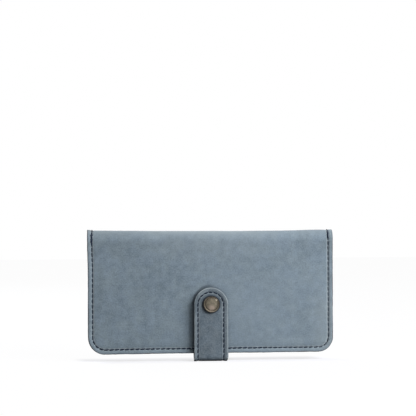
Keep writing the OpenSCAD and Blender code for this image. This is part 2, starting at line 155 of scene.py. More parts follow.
class Nodes:
    # A node tree that is filled one node at a time
    def __init__(self, tree):
        self.tree = tree
        tree.nodes.clear()

    def add(self, kind, settings, inputs, output=0):
        node = self.tree.nodes.new(kind)
        for name, value in (settings or {}).items():
            setattr(node, name, value)
        for key, value in (inputs or {}).items():
            socket = node.inputs[key]
            if isinstance(value, Wire):
                self.tree.links.new(value.socket, socket)
            elif socket.type == "RGBA":
                socket.default_value = (*value, 1)
            else:
                socket.default_value = value
        return Wire(self, node.outputs[output]) if len(node.outputs) else None

    def mixed(self, share, first, second):
        return self.add("ShaderNodeMix", {"data_type": "RGBA"}, {0: share, 6: first, 7: second}, output=2)

    def grain(self, place, size, detail, rough):
        # Noise about 0.5 with features of that size
        inputs = {"Vector": place, "Scale": 1 / size, "Detail": detail, "Roughness": rough}
        return self.add("ShaderNodeTexNoise", None, inputs)

    def stretched(self, place, scale):
        return self.add("ShaderNodeVectorMath", {"operation": "MULTIPLY"}, {0: place, 1: scale})

    def parts(self, place, *outputs):
        # Those of X, Y and Z, by number
        return [self.add("ShaderNodeSeparateXYZ", None, {0: place}, output) for output in outputs]

    def attribute(self, name, output):
        return self.add("ShaderNodeAttribute", {"attribute_name": name}, None, output)


class Finish(Nodes):
    # A material with a Principled shader, whose even values are set on its own sockets
    def __init__(self, name, even):
        self.material = bpy.data.materials.new(name)
        self.material.use_nodes = True
        super().__init__(self.material.node_tree)
        self.shader = self.tree.nodes.new("ShaderNodeBsdfPrincipled")
        for key, value in even.items():
            socket = self.shader.inputs[key]
            socket.default_value = (*value, 1) if socket.type == "RGBA" else value
        self.add("ShaderNodeOutputMaterial", None, {0: Wire(self, self.shader.outputs[0])})

    def feed(self, **wires):
        for name, wire in wires.items():
            self.tree.links.new(wire.socket, self.shader.inputs[name.replace("_", " ")])

    def bumped(self, height, strength, distance):
        inputs = {"Strength": strength, "Distance": distance, "Height": height}
        self.feed(Normal=self.add("ShaderNodeBump", None, inputs))


arcSteps = 16


def roundedRun(corners, radii):
    # Points along straight runs through the corners, with an arc at each inner corner
    track = [Vector(corners[0])]
    for before, corner, after, radius in zip(corners, corners[1:], corners[2:], radii):
        corner = Vector(corner)
        back, on = (Vector(before) - corner).normalized(), (Vector(after) - corner).normalized()
        centre = corner + (back + on) * radius
        for i in range(arcSteps + 1):
            angle = quarter * i / arcSteps
            track.append(centre - on * radius * math.cos(angle) - back * radius * math.sin(angle))
    track.append(Vector(corners[-1]))
    return track


class Seam:
    # Walks along a track on the flat pattern
    def __init__(self, track):
        self.track = track
        self.far = [0.0]
        for a, b in zip(track, track[1:]):
            self.far.append(self.far[-1] + (b - a).length)
        self.length = self.far[-1]

    def at(self, length):
        length = min(max(length, 0), self.length)
        i = min(max(bisect.bisect_left(self.far, length), 1), len(self.far) - 1)
        share = (length - self.far[i - 1]) / max(self.far[i] - self.far[i - 1], 1e-9)
        return self.track[i - 1].lerp(self.track[i], share)


# Saddle-like stitches: short lengths of two-ply thread that dive into the leather at both ends
stitching = {
    "pitch": 4 * mm, "length": 3.65 * mm, "radius": 0.45 * mm, "lift": 0.02 * mm, "dive": 0.62 * mm,
    "rings": 9, "sides": 10, "lobe": 0.10, "twist": 2.2, "slant": 0.15 * mm, "stray": 0.13 * mm,
    "uneven": 0.10, "thin": 0.30, "squat": 0.85
}
tackStitching = dict(stitching, length=3.95 * mm, radius=0.62 * mm)


# Covers: each half of the folded leather runs from its lower edge to the top of the fold
coverSewing = {
    "seam": 3.7 * mm, "groove": 0.40 * mm, "grooveWidth": 0.62 * mm, "puff": 0.20 * mm, "swell": 0.36 * mm,
    "swellWide": 4.0 * mm, "ripple": 0.12 * mm, "ridge": 0.14 * mm, "lip": 0.36 * mm,
    "leftCorner": 13.7 * mm, "rightCorner": 11.7 * mm,
    # The seam is sewn over itself where the fold starts to curve: aside, then from and to above there
    "leftTack": (-0.45 * mm, -0.6 * mm, 6.2 * mm), "rightTack": (-0.15 * mm, 2.4 * mm, 8.4 * mm),
    # The thread stands proud over the fold, and it is slimmer up the sides and towards the right.
    # slimUp and slimRightRun hold where that starts and over how far it grows.
    "proud": 0.3 * mm, "slim": 0.27, "slimIn": 5.5 * mm, "slimUp": (10 * mm, 6 * mm),
    "slimRight": 0.20, "slimRightRun": (20 * mm, 30 * mm),
    "wander": 0.17 * mm, "foldStep": 0.85 * mm, "underTab": 0.6 * mm, "shadedUnderTab": 0.30
}
flatRun = foldZ - coverBottom
foldArc = foldRadius * quarter
coverEnd = flatRun + foldArc


def coverTrack(look):
    x = coverHalf - look["seam"]
    corners = [(-x, coverEnd), (-x, look["seam"]), (x, look["seam"]), (x, coverEnd)]
    return Seam(roundedRun(corners, [look[key] - look["seam"] for key in ("leftCorner", "rightCorner")]))


def stitchBeat(look):
    # The pitch, the seam's length up to the middle of the bottom, and what a height on the right adds to
    seam = coverTrack(look)
    x = coverHalf - look["seam"]
    left, right = look["leftCorner"] - look["seam"], look["rightCorner"] - look["seam"]
    first = coverEnd - look["seam"] - left + left * quarter + x - left
    foot = first + x - right + right * quarter - (look["seam"] + right)
    return seam.length / round(seam.length / stitching["pitch"]), first, foot


# Nubuck and smooth leather: soft blotches, a brushed nap, fine grain and a dark cut edge.
# "flat" holds a point's place on the flat pattern, and "rim" its distance from the cut edge in mm.
# Among these tones, the pale worn one also paints highlights, and the darkest one paints the shade where the
# tab turns under
coverLook = {
    "deep": (0.079, 0.110, 0.139), "pale": (0.263, 0.330, 0.394), "warm": (0.269, 0.332, 0.378),
    "worn": (0.335, 0.383, 0.408), "cut": (0.030, 0.036, 0.046), "contactShade": (0.016, 0.019, 0.024),
    "blotch": 0.35, "mottle": 0.50, "nap": 0.50, "fine": 0.95, "bump": 0.45, "sheen": 0.15, "rough": 0.92,
    "seam": coverSewing["seam"] / mm, "margin": 0.10, "beside": 0.50, "gutter": 0.04, "beat": 0.30,
    "cutWide": 0.95, "edge": 0.08, "edgeWide": (0.5, 1.6),
    "fold": 0.50, "paintedFalloff": 0.24, "shadedUnderTab": 0, "press": None, "under": 0
}
tabLook = dict(
    coverLook, deep=(0.052, 0.072, 0.092), pale=(0.200, 0.247, 0.293), warm=(0.206, 0.246, 0.280),
    mottle=0.75, nap=0.75, fine=1.15, seam=3.0, margin=0.14, beside=0.36, beat=0,
    cutWide=0.18, edge=1.0, edgeWide=(0.4, 0.95), fold=0, paintedFalloff=0, under=1.0
)
pocketLook = dict(
    coverLook, deep=(0.075, 0.102, 0.128), pale=(0.220, 0.270, 0.320), warm=(0.224, 0.270, 0.308),
    sheen=0.1, gutter=0, beat=0, fold=0, paintedFalloff=0
)
liningLook = dict(
    pocketLook, deep=(0.060, 0.082, 0.105), pale=(0.135, 0.168, 0.200), warm=(0.139, 0.166, 0.190), nap=0.2
)

# Noise in the leather: the size of a feature, its detail and roughness, and how it is stretched
leatherGrain = {
    "blotch": (0.038, 2.5, 0.55, None), "mottle": (0.0055, 4.0, 0.62, None),
    "nap": (0.0075, 3.0, 0.6, (1.1, 1.2, 1.0)), "fine": (0.0011, 4.0, 0.7, None),
    "hair": (0.0009, 2.0, 0.6, (2.6, 1.0, 1.0)), "hue": (0.013, 3.0, 0.6, (1.0, 1.0, 3.0)),
    "patch": (0.02, 2.0, 0.6, None)
}
# Bands beside the seam: where each comes and goes, in mm from the seam's line, inwards
seamBands = {
    "beside": (0.25, 0.55, 0.8, 1.4), "hollow": (1.0, 1.7, 2.2, 3.4), "puff": (-1.5, -0.5, 0.5, 1.7)
}
marginBand = {"from": (0.4, 1.2), "to": (-1.1, -0.3)}  # from the cut edge, and to the seam


def stitchPuff(across, along, look):
    # A wave along the covers' seam, as the stitches pull the leather in and it puffs up between them. It
    # lifts the bump and paints highlights on the puffs
    pitch, first, foot = stitchBeat(coverSewing)
    upright = along.between(0.006, 0.009)
    right = across.between(-0.001, 0.001)
    side = (coverEnd - along) * (1 - right) + (along + foot) * right
    run = (across + first) * (1 - upright) + side * upright
    wave = run.maths("COSINE", run * (2 * math.pi / pitch))
    return (wave * 0.5 + 0.5) * look["beat"]


# Painted highlight on the fold, where light from above falls, and rubbed wear: most in its middle and least
# at its right, with a softer band below it
foldWearAndHighlight = {
    "left": (-0.060, -0.020), "right": (0.020, 0.060), "up": (0.080, 0.0985), "more": 0.20, "less": 0.16,
    "softUp": (0.066, 0.088), "soft": 0.03, "softMore": 0.15
}


def foldShare(across, along, look):
    rubAndPaintedLight = foldWearAndHighlight
    right = across.between(*rubAndPaintedLight["right"])
    middle = across.between(*rubAndPaintedLight["left"]) * (1 - right)
    upper = along.between(*rubAndPaintedLight["up"])
    rubbed = upper * upper * upper * (look["fold"] + middle * rubAndPaintedLight["more"] - right * rubAndPaintedLight["less"])
    soft = along.between(*rubAndPaintedLight["softUp"]) * (1 - upper)
    return rubbed + soft * (rubAndPaintedLight["soft"] * (1 - right) + middle * rubAndPaintedLight["softMore"])


# Painted light that falls off to the left: the covers are paler right of the middle, less at the far right
# and higher up
paintedFalloffLook = {
    "left": (-0.045, 0.020), "right": (0.045, 0.100), "lessRight": 0.85, "up": (0.050, 0.075), "lessUp": 0.6
}


def fadedShare(across, along, look):
    right = across.between(*paintedFalloffLook["right"]) * paintedFalloffLook["lessRight"]
    upper = along.between(*paintedFalloffLook["up"]) * paintedFalloffLook["lessUp"]
    return across.between(*paintedFalloffLook["left"]) * (1 - right) * (1 - upper) * look["paintedFalloff"]


# The front cover is paler low at the right, and darker where the tab lies on it, as painted shadow of the tab
# and as leather left unfaded there, and darker along the tab's edge, most at its left, as painted shadow of
# the tab
frontShading = {
    "cornerRight": (0.074, 0.090), "cornerUp": (0.030, 0.062), "corner": 0.22,
    "tabEdge": (-0.4 * mm, 1.2 * mm), "shadowFrom": (-3 * mm, -0.5 * mm), "shadowTo": (0.9 * mm, 2.6 * mm),
    "middle": (-0.006, 0.006), "rubAndPaintedLight": 0.05, "shadowLeft": 0.50
}


def frontWorn(finish, colour, across, along, look):
    shadeLook = frontShading
    corner = across.between(*shadeLook["cornerRight"]) * (1 - along.between(*shadeLook["cornerUp"]))
    colour = finish.mixed(corner * shadeLook["corner"], colour, look["worn"])
    above = along.maths("MAXIMUM", along - (snapZ - coverBottom), 0)
    away = across.maths("SQRT", across * across + above * above)

    def past(pair):
        return away.between(tabHalf + pair[0], tabHalf + pair[1])
    # Painted shadow of the tab where it lies on the cover, also leather left unfaded under it
    colour = finish.mixed((1 - past(shadeLook["tabEdge"])) * look["shadedUnderTab"], colour, look["deep"])
    # Painted shadow along the tab's edge, most at its left where the lamp throws it
    left = 1 - across.between(*shadeLook["middle"])
    rubAndPaintedLight = past(shadeLook["shadowFrom"]) * (1 - past(shadeLook["shadowTo"])) * (shadeLook["rubAndPaintedLight"] + left * shadeLook["shadowLeft"])
    return finish.mixed(rubAndPaintedLight, colour, look["cut"])


# The tab is darker in a ring round the cap, in mm, as painted shadow of the cap and as pressed leather, and
# has painted shade along the left margin by its tip
tipShading = {
    "ring": (5.5, 6.1, 6.9, 7.9), "pressedAndShaded": 0.9,
    "left": (-0.0105, -0.0090), "down": (0.016, 0.026), "dull": 0.45
}


def tipWorn(finish, colour, flat, across, along, look):
    distance = {"operation": "DISTANCE"}
    far = finish.add("ShaderNodeVectorMath", distance, {0: flat, 1: look["press"]}, output=1) / mm
    # Painted shadow of the cap, also pressed leather
    colour = finish.mixed(far.band(*tipShading["ring"]) * tipShading["pressedAndShaded"], colour, look["cut"])
    # Painted shade on the left margin by the tip, where its edge turns away from the light
    dull = (1 - across.between(*tipShading["left"])) * (1 - along.between(*tipShading["down"]))
    return finish.mixed(dull * tipShading["dull"], colour, look["deep"])


def leatherFinish(name, look):
    even = {
        "Roughness": look["rough"], "Sheen Weight": look["sheen"], "Sheen Roughness": 0.45,
        "Sheen Tint": look["worn"], "Specular IOR Level": 0.08
    }
    finish = Finish(name, even)
    flat = finish.attribute("flat", "Vector")
    rim = finish.attribute("rim", "Fac")
    across, along = finish.parts(flat, 0, 1)
    grains = {}
    for key, (size, detail, rough, stretch) in leatherGrain.items():
        grains[key] = finish.grain(finish.stretched(flat, stretch) if stretch else flat, size, detail, rough)

    def besideSeam(key):
        return rim.band(*[look["seam"] + far for far in seamBands[key]])
    tone = 0.5
    for key in ("blotch", "mottle", "nap", "fine"):
        tone = tone + (grains[key] - 0.5) * look[key]
    bright = finish.mixed(grains["hue"].between(0.4, 0.6), look["pale"], look["warm"])
    colour = finish.mixed(tone, look["deep"], bright)
    # Painted highlights between the seam and the rim and just inside the seam, where the puffed leather
    # catches light
    margin = rim.band(*marginBand["from"], *[look["seam"] + far for far in marginBand["to"]])
    pale = margin * look["margin"] + besideSeam("beside") * look["beside"]
    colour = finish.mixed(pale, colour, look["worn"])
    if look["gutter"]:
        # Painted shade in the hollow just after the seam
        hollow = besideSeam("hollow") * look["gutter"] * (0.3 + grains["nap"] * 1.4)
        colour = finish.mixed(hollow, colour, look["deep"])
    # Painted highlight on the fold, also rubbed wear
    if look["fold"]:
        colour = finish.mixed(foldShare(across, along, look), colour, look["worn"])
    # Painted light, paler towards the right
    if look["paintedFalloff"]:
        colour = finish.mixed(fadedShare(across, along, look), colour, look["pale"])
    # Painted shadow of the tab on the front cover
    if look["shadedUnderTab"]:
        colour = frontWorn(finish, colour, across, along, look)
    height = grains["fine"] * 0.6 + grains["hair"] * 0.25 + grains["mottle"] * 0.5
    if look["beat"]:
        # Painted highlights on the puffs between stitches, which also rise in the bump
        puff = stitchPuff(across, along, look) * besideSeam("puff")
        colour = finish.mixed(puff, colour, look["worn"])
        height = height + puff * 2
    # Painted highlight along the rounded cut edge, and wear there; strongest on the tab
    edge = (1 - rim.between(*look["edgeWide"])) * rim.between(0.15, 0.4)
    colour = finish.mixed(edge * look["edge"] * (0.4 + grains["mottle"]), colour, look["worn"])
    # Painted shade round the cap and by the tip
    if look["press"]:
        colour = tipWorn(finish, colour, flat, across, along, look)
    if look["under"]:
        # Painted shade where the tab turns under the wallet, which stands in for its contact shadow
        colour = finish.mixed(finish.attribute("under", "Fac") * look["under"], colour, look["contactShade"])
    patchy = grains["patch"].between(0.42, 0.62) * 0.5 + 0.5
    cut = (1 - rim.between(look["cutWide"] * 0.4, look["cutWide"])) * patchy * (0.5 + grains["fine"])
    finish.feed(Base_Color=finish.mixed(cut, colour, look["cut"]))
    finish.bumped(height, look["bump"], 0.35 * mm)
    return finish.material


threadLook = {"deep": (0.002, 0.006, 0.015), "pale": (0.010, 0.022, 0.050)}


def threadFinish(name, look):
    finish = Finish(name, {"Roughness": 0.7, "Specular IOR Level": 0.2, "Sheen Weight": 0.04})
    flat = finish.attribute("flat", "Vector")
    strand = finish.grain(finish.stretched(flat, (1.0, 1.0, 3.0)), 0.0006, 3.0, 0.6)
    finish.feed(Base_Color=finish.mixed(strand.between(0.3, 0.75), look["deep"], look["pale"]))
    finish.bumped(strand, 0.5, 0.1 * mm)
    return finish.material


tapeLook = {"deep": (0.018, 0.024, 0.040), "pale": (0.060, 0.075, 0.105), "rib": 0.55 * mm}


def tapeFinish(name, look):
    # Herringbone ribs of a woven tape
    finish = Finish(name, {"Roughness": 0.8, "Sheen Weight": 0.3, "Sheen Roughness": 0.4})
    flat = finish.attribute("flat", "Vector")
    ribs = finish.add(
        "ShaderNodeTexWave", {"bands_direction": "DIAGONAL", "wave_profile": "TRI"},
        {"Vector": flat, "Scale": 0.314 / look["rib"], "Distortion": 0.4, "Detail": 1.0}, output=1
    )
    yarn = finish.grain(finish.stretched(flat, (1.0, 4.0, 1.0)), 0.0008, 2.0, 0.6)
    weave = ribs * 0.65 + yarn * 0.35
    finish.feed(Base_Color=finish.mixed(weave, look["deep"], look["pale"]))
    finish.bumped(weave, 0.6, 0.15 * mm)
    return finish.material


# Old brass: dull brown metal with darker hollows and brighter rubbed spots
brassLook = {
    "deep": (0.070, 0.056, 0.044), "mid": (0.175, 0.147, 0.118), "rubbed": (0.36, 0.31, 0.25),
    "rough": (0.34, 0.58), "size": 0.0018
}
steelLook = dict(brassLook, deep=(0.20, 0.19, 0.18), mid=(0.36, 0.35, 0.34), rubbed=(0.55, 0.54, 0.52))


def metalFinish(name, look):
    finish = Finish(name, {"Metallic": 1.0})
    place = finish.add("ShaderNodeTexCoord", None, None, "Object")
    rim = finish.attribute("rim", "Fac")
    cloud = finish.grain(place, look["size"], 4.0, 0.6)
    speck = finish.grain(place, look["size"] * 0.22, 3.0, 0.6)
    colour = finish.mixed(cloud.between(0.36, 0.62), look["deep"], look["mid"])
    colour = finish.mixed(speck.between(0.55, 0.8) * 0.6, colour, look["rubbed"])
    hollow = rim.between(0.01, 1.0)
    colour = finish.mixed(hollow * (0.75 + speck * 0.3), colour, look["deep"])
    roughness = look["rough"][0] + cloud * (look["rough"][1] - look["rough"][0]) + speck * 0.1
    finish.feed(Base_Color=colour, Roughness=roughness)
    finish.bumped(cloud * 0.6 + speck * 0.4, 0.25, 0.08 * mm)
    return finish.material


# The cap: greenish brown, paler and pinker low in the middle as painted reflection of the floor and rubbed
# wear, with painted shade on its left and a painted glint at the upper right, speckled round the dome's foot
# and darker round the outside as painted shade of the turned-under rim and tarnish, most at the upper right.
# Places and distances are shares of its radius, from its middle.
capLook = {
    "deep": (0.048, 0.041, 0.033), "dull": (0.118, 0.105, 0.082), "mid": (0.180, 0.160, 0.123),
    "rubbed": (0.305, 0.250, 0.210), "bright": (0.46, 0.42, 0.35), "tarnishAndShade": (0.016, 0.015, 0.015),
    "rough": 0.42, "reflectionAt": (0.0, -0.50), "reflectionWide": (0.15, 0.60), "leftShadeRun": (-0.9, 0.2), "left": 0.34,
    "foot": (0.58, 0.72, 0.82, 0.92), "specks": 0.85, "pits": 0.4, "sparks": 0.3, "hollow": 0.85,
    "glintAt": (0.60, 0.55), "glintWide": (0.05, 0.17), "glint": 0.8,
    "outside": (0.89, 0.96), "upperRight": (-0.4, 0.9), "least": 0.15, "more": 0.80,
    "cloudSize": 0.30, "speckSize": 0.085, "pitSize": 0.13
}


def capFinish(name, look):
    finish = Finish(name, {"Metallic": 1.0})
    place = finish.attribute("flat", "Vector")
    hollow = finish.attribute("rim", "Fac")
    x, z = finish.parts(place, 0, 1)

    def away(point):
        return x.maths("SQRT", (x - point[0]) * (x - point[0]) + (z - point[1]) * (z - point[1]))
    cloud = finish.grain(place, look["cloudSize"], 4.0, 0.6)
    speck = finish.grain(place, look["speckSize"], 3.0, 0.6)
    pit = finish.grain(place, look["pitSize"], 3.0, 0.7)
    centre = away((0, 0))
    # Painted reflection of the floor low in the middle, also rubbed wear
    rubbed = 1 - (away(look["reflectionAt"]) + (cloud - 0.5) * 0.9).between(*look["reflectionWide"])
    tarnishAndShade = centre.between(*look["outside"])
    # Each layer's share and tone, from the first laid to the last
    layers = [
        (rubbed * 0.9, "rubbed"),
        # Painted shade on the cap's left side
        ((1 - x.between(*look["leftShadeRun"])) * look["left"], "deep"),
        (centre.band(*look["foot"]) * speck.between(0.40, 0.58) * look["specks"], "deep"),
        (pit.between(0.55, 0.66) * look["pits"], "deep"),
        (speck.between(0.60, 0.75) * look["sparks"], "bright"),
        # A painted glint at the upper right
        ((1 - away(look["glintAt"]).between(*look["glintWide"])) * look["glint"], "bright"),
        # Patina in the groove, and painted shade on the cap's side below its rim
        (hollow * look["hollow"], "deep"),
        # Painted shade of the turned-under rim, also tarnish, most at the upper right
        (tarnishAndShade * (look["least"] + (x + z).between(*look["upperRight"]) * look["more"]), "tarnishAndShade")
    ]
    colour = finish.mixed(cloud.between(0.38, 0.60), look["dull"], look["mid"])
    for share, tone in layers:
        colour = finish.mixed(share, colour, look[tone])
    finish.feed(Base_Color=colour, Roughness=look["rough"] + cloud * 0.2)
    finish.bumped(cloud * 0.5 + speck * 0.5, 0.3, 0.09 * mm)
    return finish.material


finishes = {
    "cover_leather": leatherFinish("coverNubuck", coverLook),
    "tab_leather": leatherFinish("tabNubuck", tabLook),
    "pocket_leather": leatherFinish("pocketLeather", pocketLook),
    "lining_leather": leatherFinish("liningLeather", liningLook),
    "navy_thread": threadFinish("sewingThread", threadLook),
    "zip_tape": tapeFinish("wovenTape", tapeLook),
    "antique_brass": metalFinish("oldBrass", brassLook),
    "spring_steel": metalFinish("springSteel", steelLook),
}
print("finishes made")


def dress(piece, slot, *nodes):
    piece.data.materials.clear()
    piece.data.materials.append(finishes[slot])
    if nodes:
        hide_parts(*nodes)
    return piece


def turned(vector, angle):
    c, s = math.cos(angle), math.sin(angle)
    return Vector((vector.x * c - vector.y * s, vector.x * s + vector.y * c))


def bentPath(start, heading, hand, parts=()):
    # A side view in Y and Z, as runs (length, radius) that are straight where the radius is 0.
    # It turns to the left where hand is 1, and its outer side is then on the right.
    def at(length):
        point, ahead = Vector(start), Vector(heading)
        for run, radius in parts:
            step = min(length, run)
            if radius:
                normal = turned(ahead, -hand * quarter)
                ahead = turned(ahead, hand * step / radius)
                point = point + (turned(normal, hand * step / radius) - normal) * radius
            else:
                point = point + ahead * step
            length -= step
            if length <= 0:
                break
        return point + ahead * max(length, 0), turned(ahead, -hand * quarter)
    return at


def gridLines(marks, step):
    # Lines at all the marks and, between them, no further apart than the step there
    lines = []
    marks = sorted(marks)
    for start, end in zip(marks, marks[1:]):
        if end - start > 1e-6:
            count = math.ceil((end - start) / step((start + end) / 2) - 0.01)
            lines += [start + (end - start) * i / count for i in range(count)]
    return lines + [marks[-1]]


def bump(value, centre, width):
    return math.exp(-((value - centre) / width) ** 2)


rimLines = [d * mm for d in (0, .05, .13, .24, .38, .55, .8, 1.2, 1.7, 2.2, 2.6, 2.9, 3.2, 3.5, 3.8, 4.2,
                             4.8, 5.6, 6.8, 8.4, 10.4)]


class Panel:
    # A flat pattern, from left to right and from first to last along a path, laid on that path.
    # radii are its left and right corners at the two ends. An end without them is left plain for a join.
    # sway moves a place along and across the pattern and outwards. relief, which every panel is given
    # afterwards, moves the outer side alone.
    def __init__(self, path, across, along, radii, depth=0.0, thickness=1 * mm, band=None,
                 windows=(), step=2.6 * mm, fine=(), wander=0.0, sway=None):
        self.path, self.radii, self.depth, self.thickness = path, radii, depth, thickness
        self.left, self.right = across
        self.first, self.last = along
        self.band = band or max(max(pair) for pair in radii if pair)
        self.windows, self.step, self.fine = windows, step, fine
        self.wander, self.sway = wander, sway
        self.relief = self.under = None

    def at(self, x, s, height=0.0):
        out = 0
        if self.sway:
            x, s, out = self.sway(x, s)
        point, normal = self.path(s)
        point = point + normal * (height - self.depth + out)
        return Vector((x, point.x, point.y))

    def outward(self, s):
        normal = self.path(s)[1]
        return Vector((0, normal.x, normal.y))

    def laid(self, u, v):
        # Rings near the rim follow the round corners. Also gives the distance from the rim.
        side = min(u - self.left, self.right - u)
        ends = [v - self.first, self.last - v]
        ends = [end if pair else math.inf for end, pair in zip(ends, self.radii)]
        end = min(ends)
        rim = min(side, end)
        if side >= self.band or end >= self.band or rim >= self.band:
            return u, v, rim
        nearLeft, nearFirst = u - self.left < self.right - u, ends[0] < ends[1]
        reach = self.band - rim
        across, along = self.band - side, self.band - end
        bow = max(self.radii[0 if nearFirst else 1][0 if nearLeft else 1] - rim, 0)
        straight = reach - bow
        far = min(across, along) / reach * (straight + bow * quarter / 2)
        a, b = reach, far
        if bow and far > straight:
            angle = (far - straight) / bow
            a, b = straight + bow * math.cos(angle), straight + bow * math.sin(angle)
        if along > across:
            a, b = b, a
        x = self.left + self.band - a if nearLeft else self.right - self.band + a
        s = self.first + self.band - b if nearFirst else self.last - self.band + b
        return x, s, rim

    def lines(self):
        # Grid lines across and along
        rims = [d for d in rimLines if d < self.band - 0.2 * mm] + [self.band]
        xs = [self.left + d for d in rims] + [self.right - d for d in rims]
        vs = [self.first, self.last]
        if self.radii[0]:
            vs += [self.first + d for d in rims]
        if self.radii[1]:
            vs += [self.last - d for d in rims]
        for x0, x1, s0, s1 in self.windows:
            for d in (0, .15 * mm, .4 * mm, 1 * mm):
                xs += [x0 - d, x1 + d]
                vs += [s0 - d, s1 + d]
        for start, end, _ in self.fine:
            vs += [start, end]

        def step(s):
            return min([fine for start, end, fine in self.fine if start <= s <= end] + [self.step])
        xs = [x for x in xs if self.left <= x <= self.right]
        vs = [v for v in vs if self.first <= v <= self.last]
        return gridLines(xs, lambda x: self.step), gridLines(vs, step)

    def inWindow(self, u, v):
        return any(x0 < u < x1 and s0 < v < s1 for x0, x1, s0, s1 in self.windows)

    def fromWindow(self, u, v):
        gaps = [math.hypot(max(x0 - u, u - x1, 0), max(s0 - v, v - s1, 0)) for x0, x1, s0, s1 in self.windows]
        return min(gaps + [math.inf])

    def mesh(self, name):
        us, vs = self.lines()
        points, rimValues, flatValues, underValues, known = [], [], [], [], {}

        def vertex(i, j, inner):
            key = (i, j, inner)
            if key not in known:
                x, s, rim = self.laid(us[i], vs[j])
                rim = min(rim, self.fromWindow(us[i], vs[j]))
                height = self.relief(x, s, rim) if not inner else -self.thickness
                bevel = min(0.45 * self.thickness, 0.5 * mm)
                edge = bevel - math.sqrt(max(bevel ** 2 - max(bevel - rim, 0) ** 2, 0))
                height += edge if inner else -edge
                if self.wander:
                    # The cut edge wanders a little
                    short, long = Vector((x, s, 7.1)) / (4 * mm), Vector((x, s, 1.3)) / (17 * mm)
                    wave = (noise.noise(short) + noise.noise(long)) * self.wander
                    x += math.copysign(1, x) * wave * bump(min(x - self.left, self.right - x), 0, 3 * mm)
                    if self.radii[0]:
                        s -= wave * bump(s - self.first, 0, 3 * mm)
                known[key] = len(points)
                points.append(self.at(x, s, height))
                rimValues.append(min(rim / mm, 50.0))
                flatValues.extend((x, s, 0.02 if inner else 0.0))
                underValues.append(self.under(s) if self.under else 0.0)
            return known[key]

        cells = {
            (i, j) for i in range(len(us) - 1) for j in range(len(vs) - 1)
            if not self.inWindow((us[i] + us[i + 1]) / 2, (vs[j] + vs[j + 1]) / 2)
        }
        faces = []
        for i, j in sorted(cells):
            corners = [(i, j), (i + 1, j), (i + 1, j + 1), (i, j + 1)]
            faces.append([vertex(*c, False) for c in corners])
            faces.append([vertex(*c, True) for c in reversed(corners)])
            for k, beside in enumerate([(i, j - 1), (i + 1, j), (i, j + 1), (i - 1, j)]):
                if beside not in cells:
                    a, b = corners[k], corners[(k + 1) % 4]
                    faces.append([vertex(*b, False), vertex(*a, False), vertex(*a, True), vertex(*b, True)])
        return meshPiece(name, points, faces, rimValues, flatValues, 50, underValues)


def meshPiece(name, points, faces, rimValues=None, flatValues=None, sharp=40, underValues=None):
    mesh = bpy.data.meshes.new(name)
    mesh.from_pydata(points, [], faces)
    if rimValues:
        mesh.attributes.new("rim", "FLOAT", "POINT").data.foreach_set("value", rimValues)
    if underValues:
        mesh.attributes.new("under", "FLOAT", "POINT").data.foreach_set("value", underValues)
    if flatValues:
        mesh.attributes.new("flat", "FLOAT_VECTOR", "POINT").data.foreach_set("vector", flatValues)
    work = bmesh.new()
    work.from_mesh(mesh)
    bmesh.ops.recalc_face_normals(work, faces=work.faces)
    work.to_mesh(mesh)
    work.free()
    mesh.polygons.foreach_set("use_smooth", [True] * len(mesh.polygons))
    mesh.set_sharp_from_angle(angle=math.radians(sharp))
    piece = bpy.data.objects.new(name, mesh)
    bpy.context.scene.collection.objects.link(piece)
    return piece


ripples = [(26 * mm, 1), (8 * mm, 0.35), (2.4 * mm, 0.12)]  # sizes and shares of a panel's ripples
sewnWide = {"puff": 1.1 * mm, "ridge": 1.2 * mm, "ridgeAt": 4 * mm, "even": 2 * mm}


def sewnRelief(panel, sewing):
    # Outer surface of a sewn panel: a groove at the seam, puffed leather beside it and soft ripples
    def height(x, s, rim):
        place = panel.at(x, s)
        fade = min(rim / sewnWide["even"], 1)
        lift = sewing["ripple"] * fade * sum(share * noise.noise(place / size) for size, share in ripples)
        lift -= sewing["groove"] * bump(rim, sewing["seam"], sewing["grooveWidth"])
        lift += sewing["ridge"] * bump(s, sewing["seam"] + sewnWide["ridgeAt"], sewnWide["ridge"])
        lift += sewing["puff"] * bump(rim, sewing["seam"] * 0.5, sewnWide["puff"])
        lift += sewing["swell"] * (1 - math.exp(-max(rim - sewing["seam"], 0) / sewing["swellWide"]))
        lift += sewing["lip"] * max(1 - rim / sewing["seam"], 0)
        if sewing.get("dip"):
            radius = math.hypot(x, s - sewing["dipAt"])
            lift -= sewing["dip"] * bump(radius, 0, sewing["dipWidth"])
        return lift
    return height


probe = 0.1 * mm  # a short way along a seam, for its direction


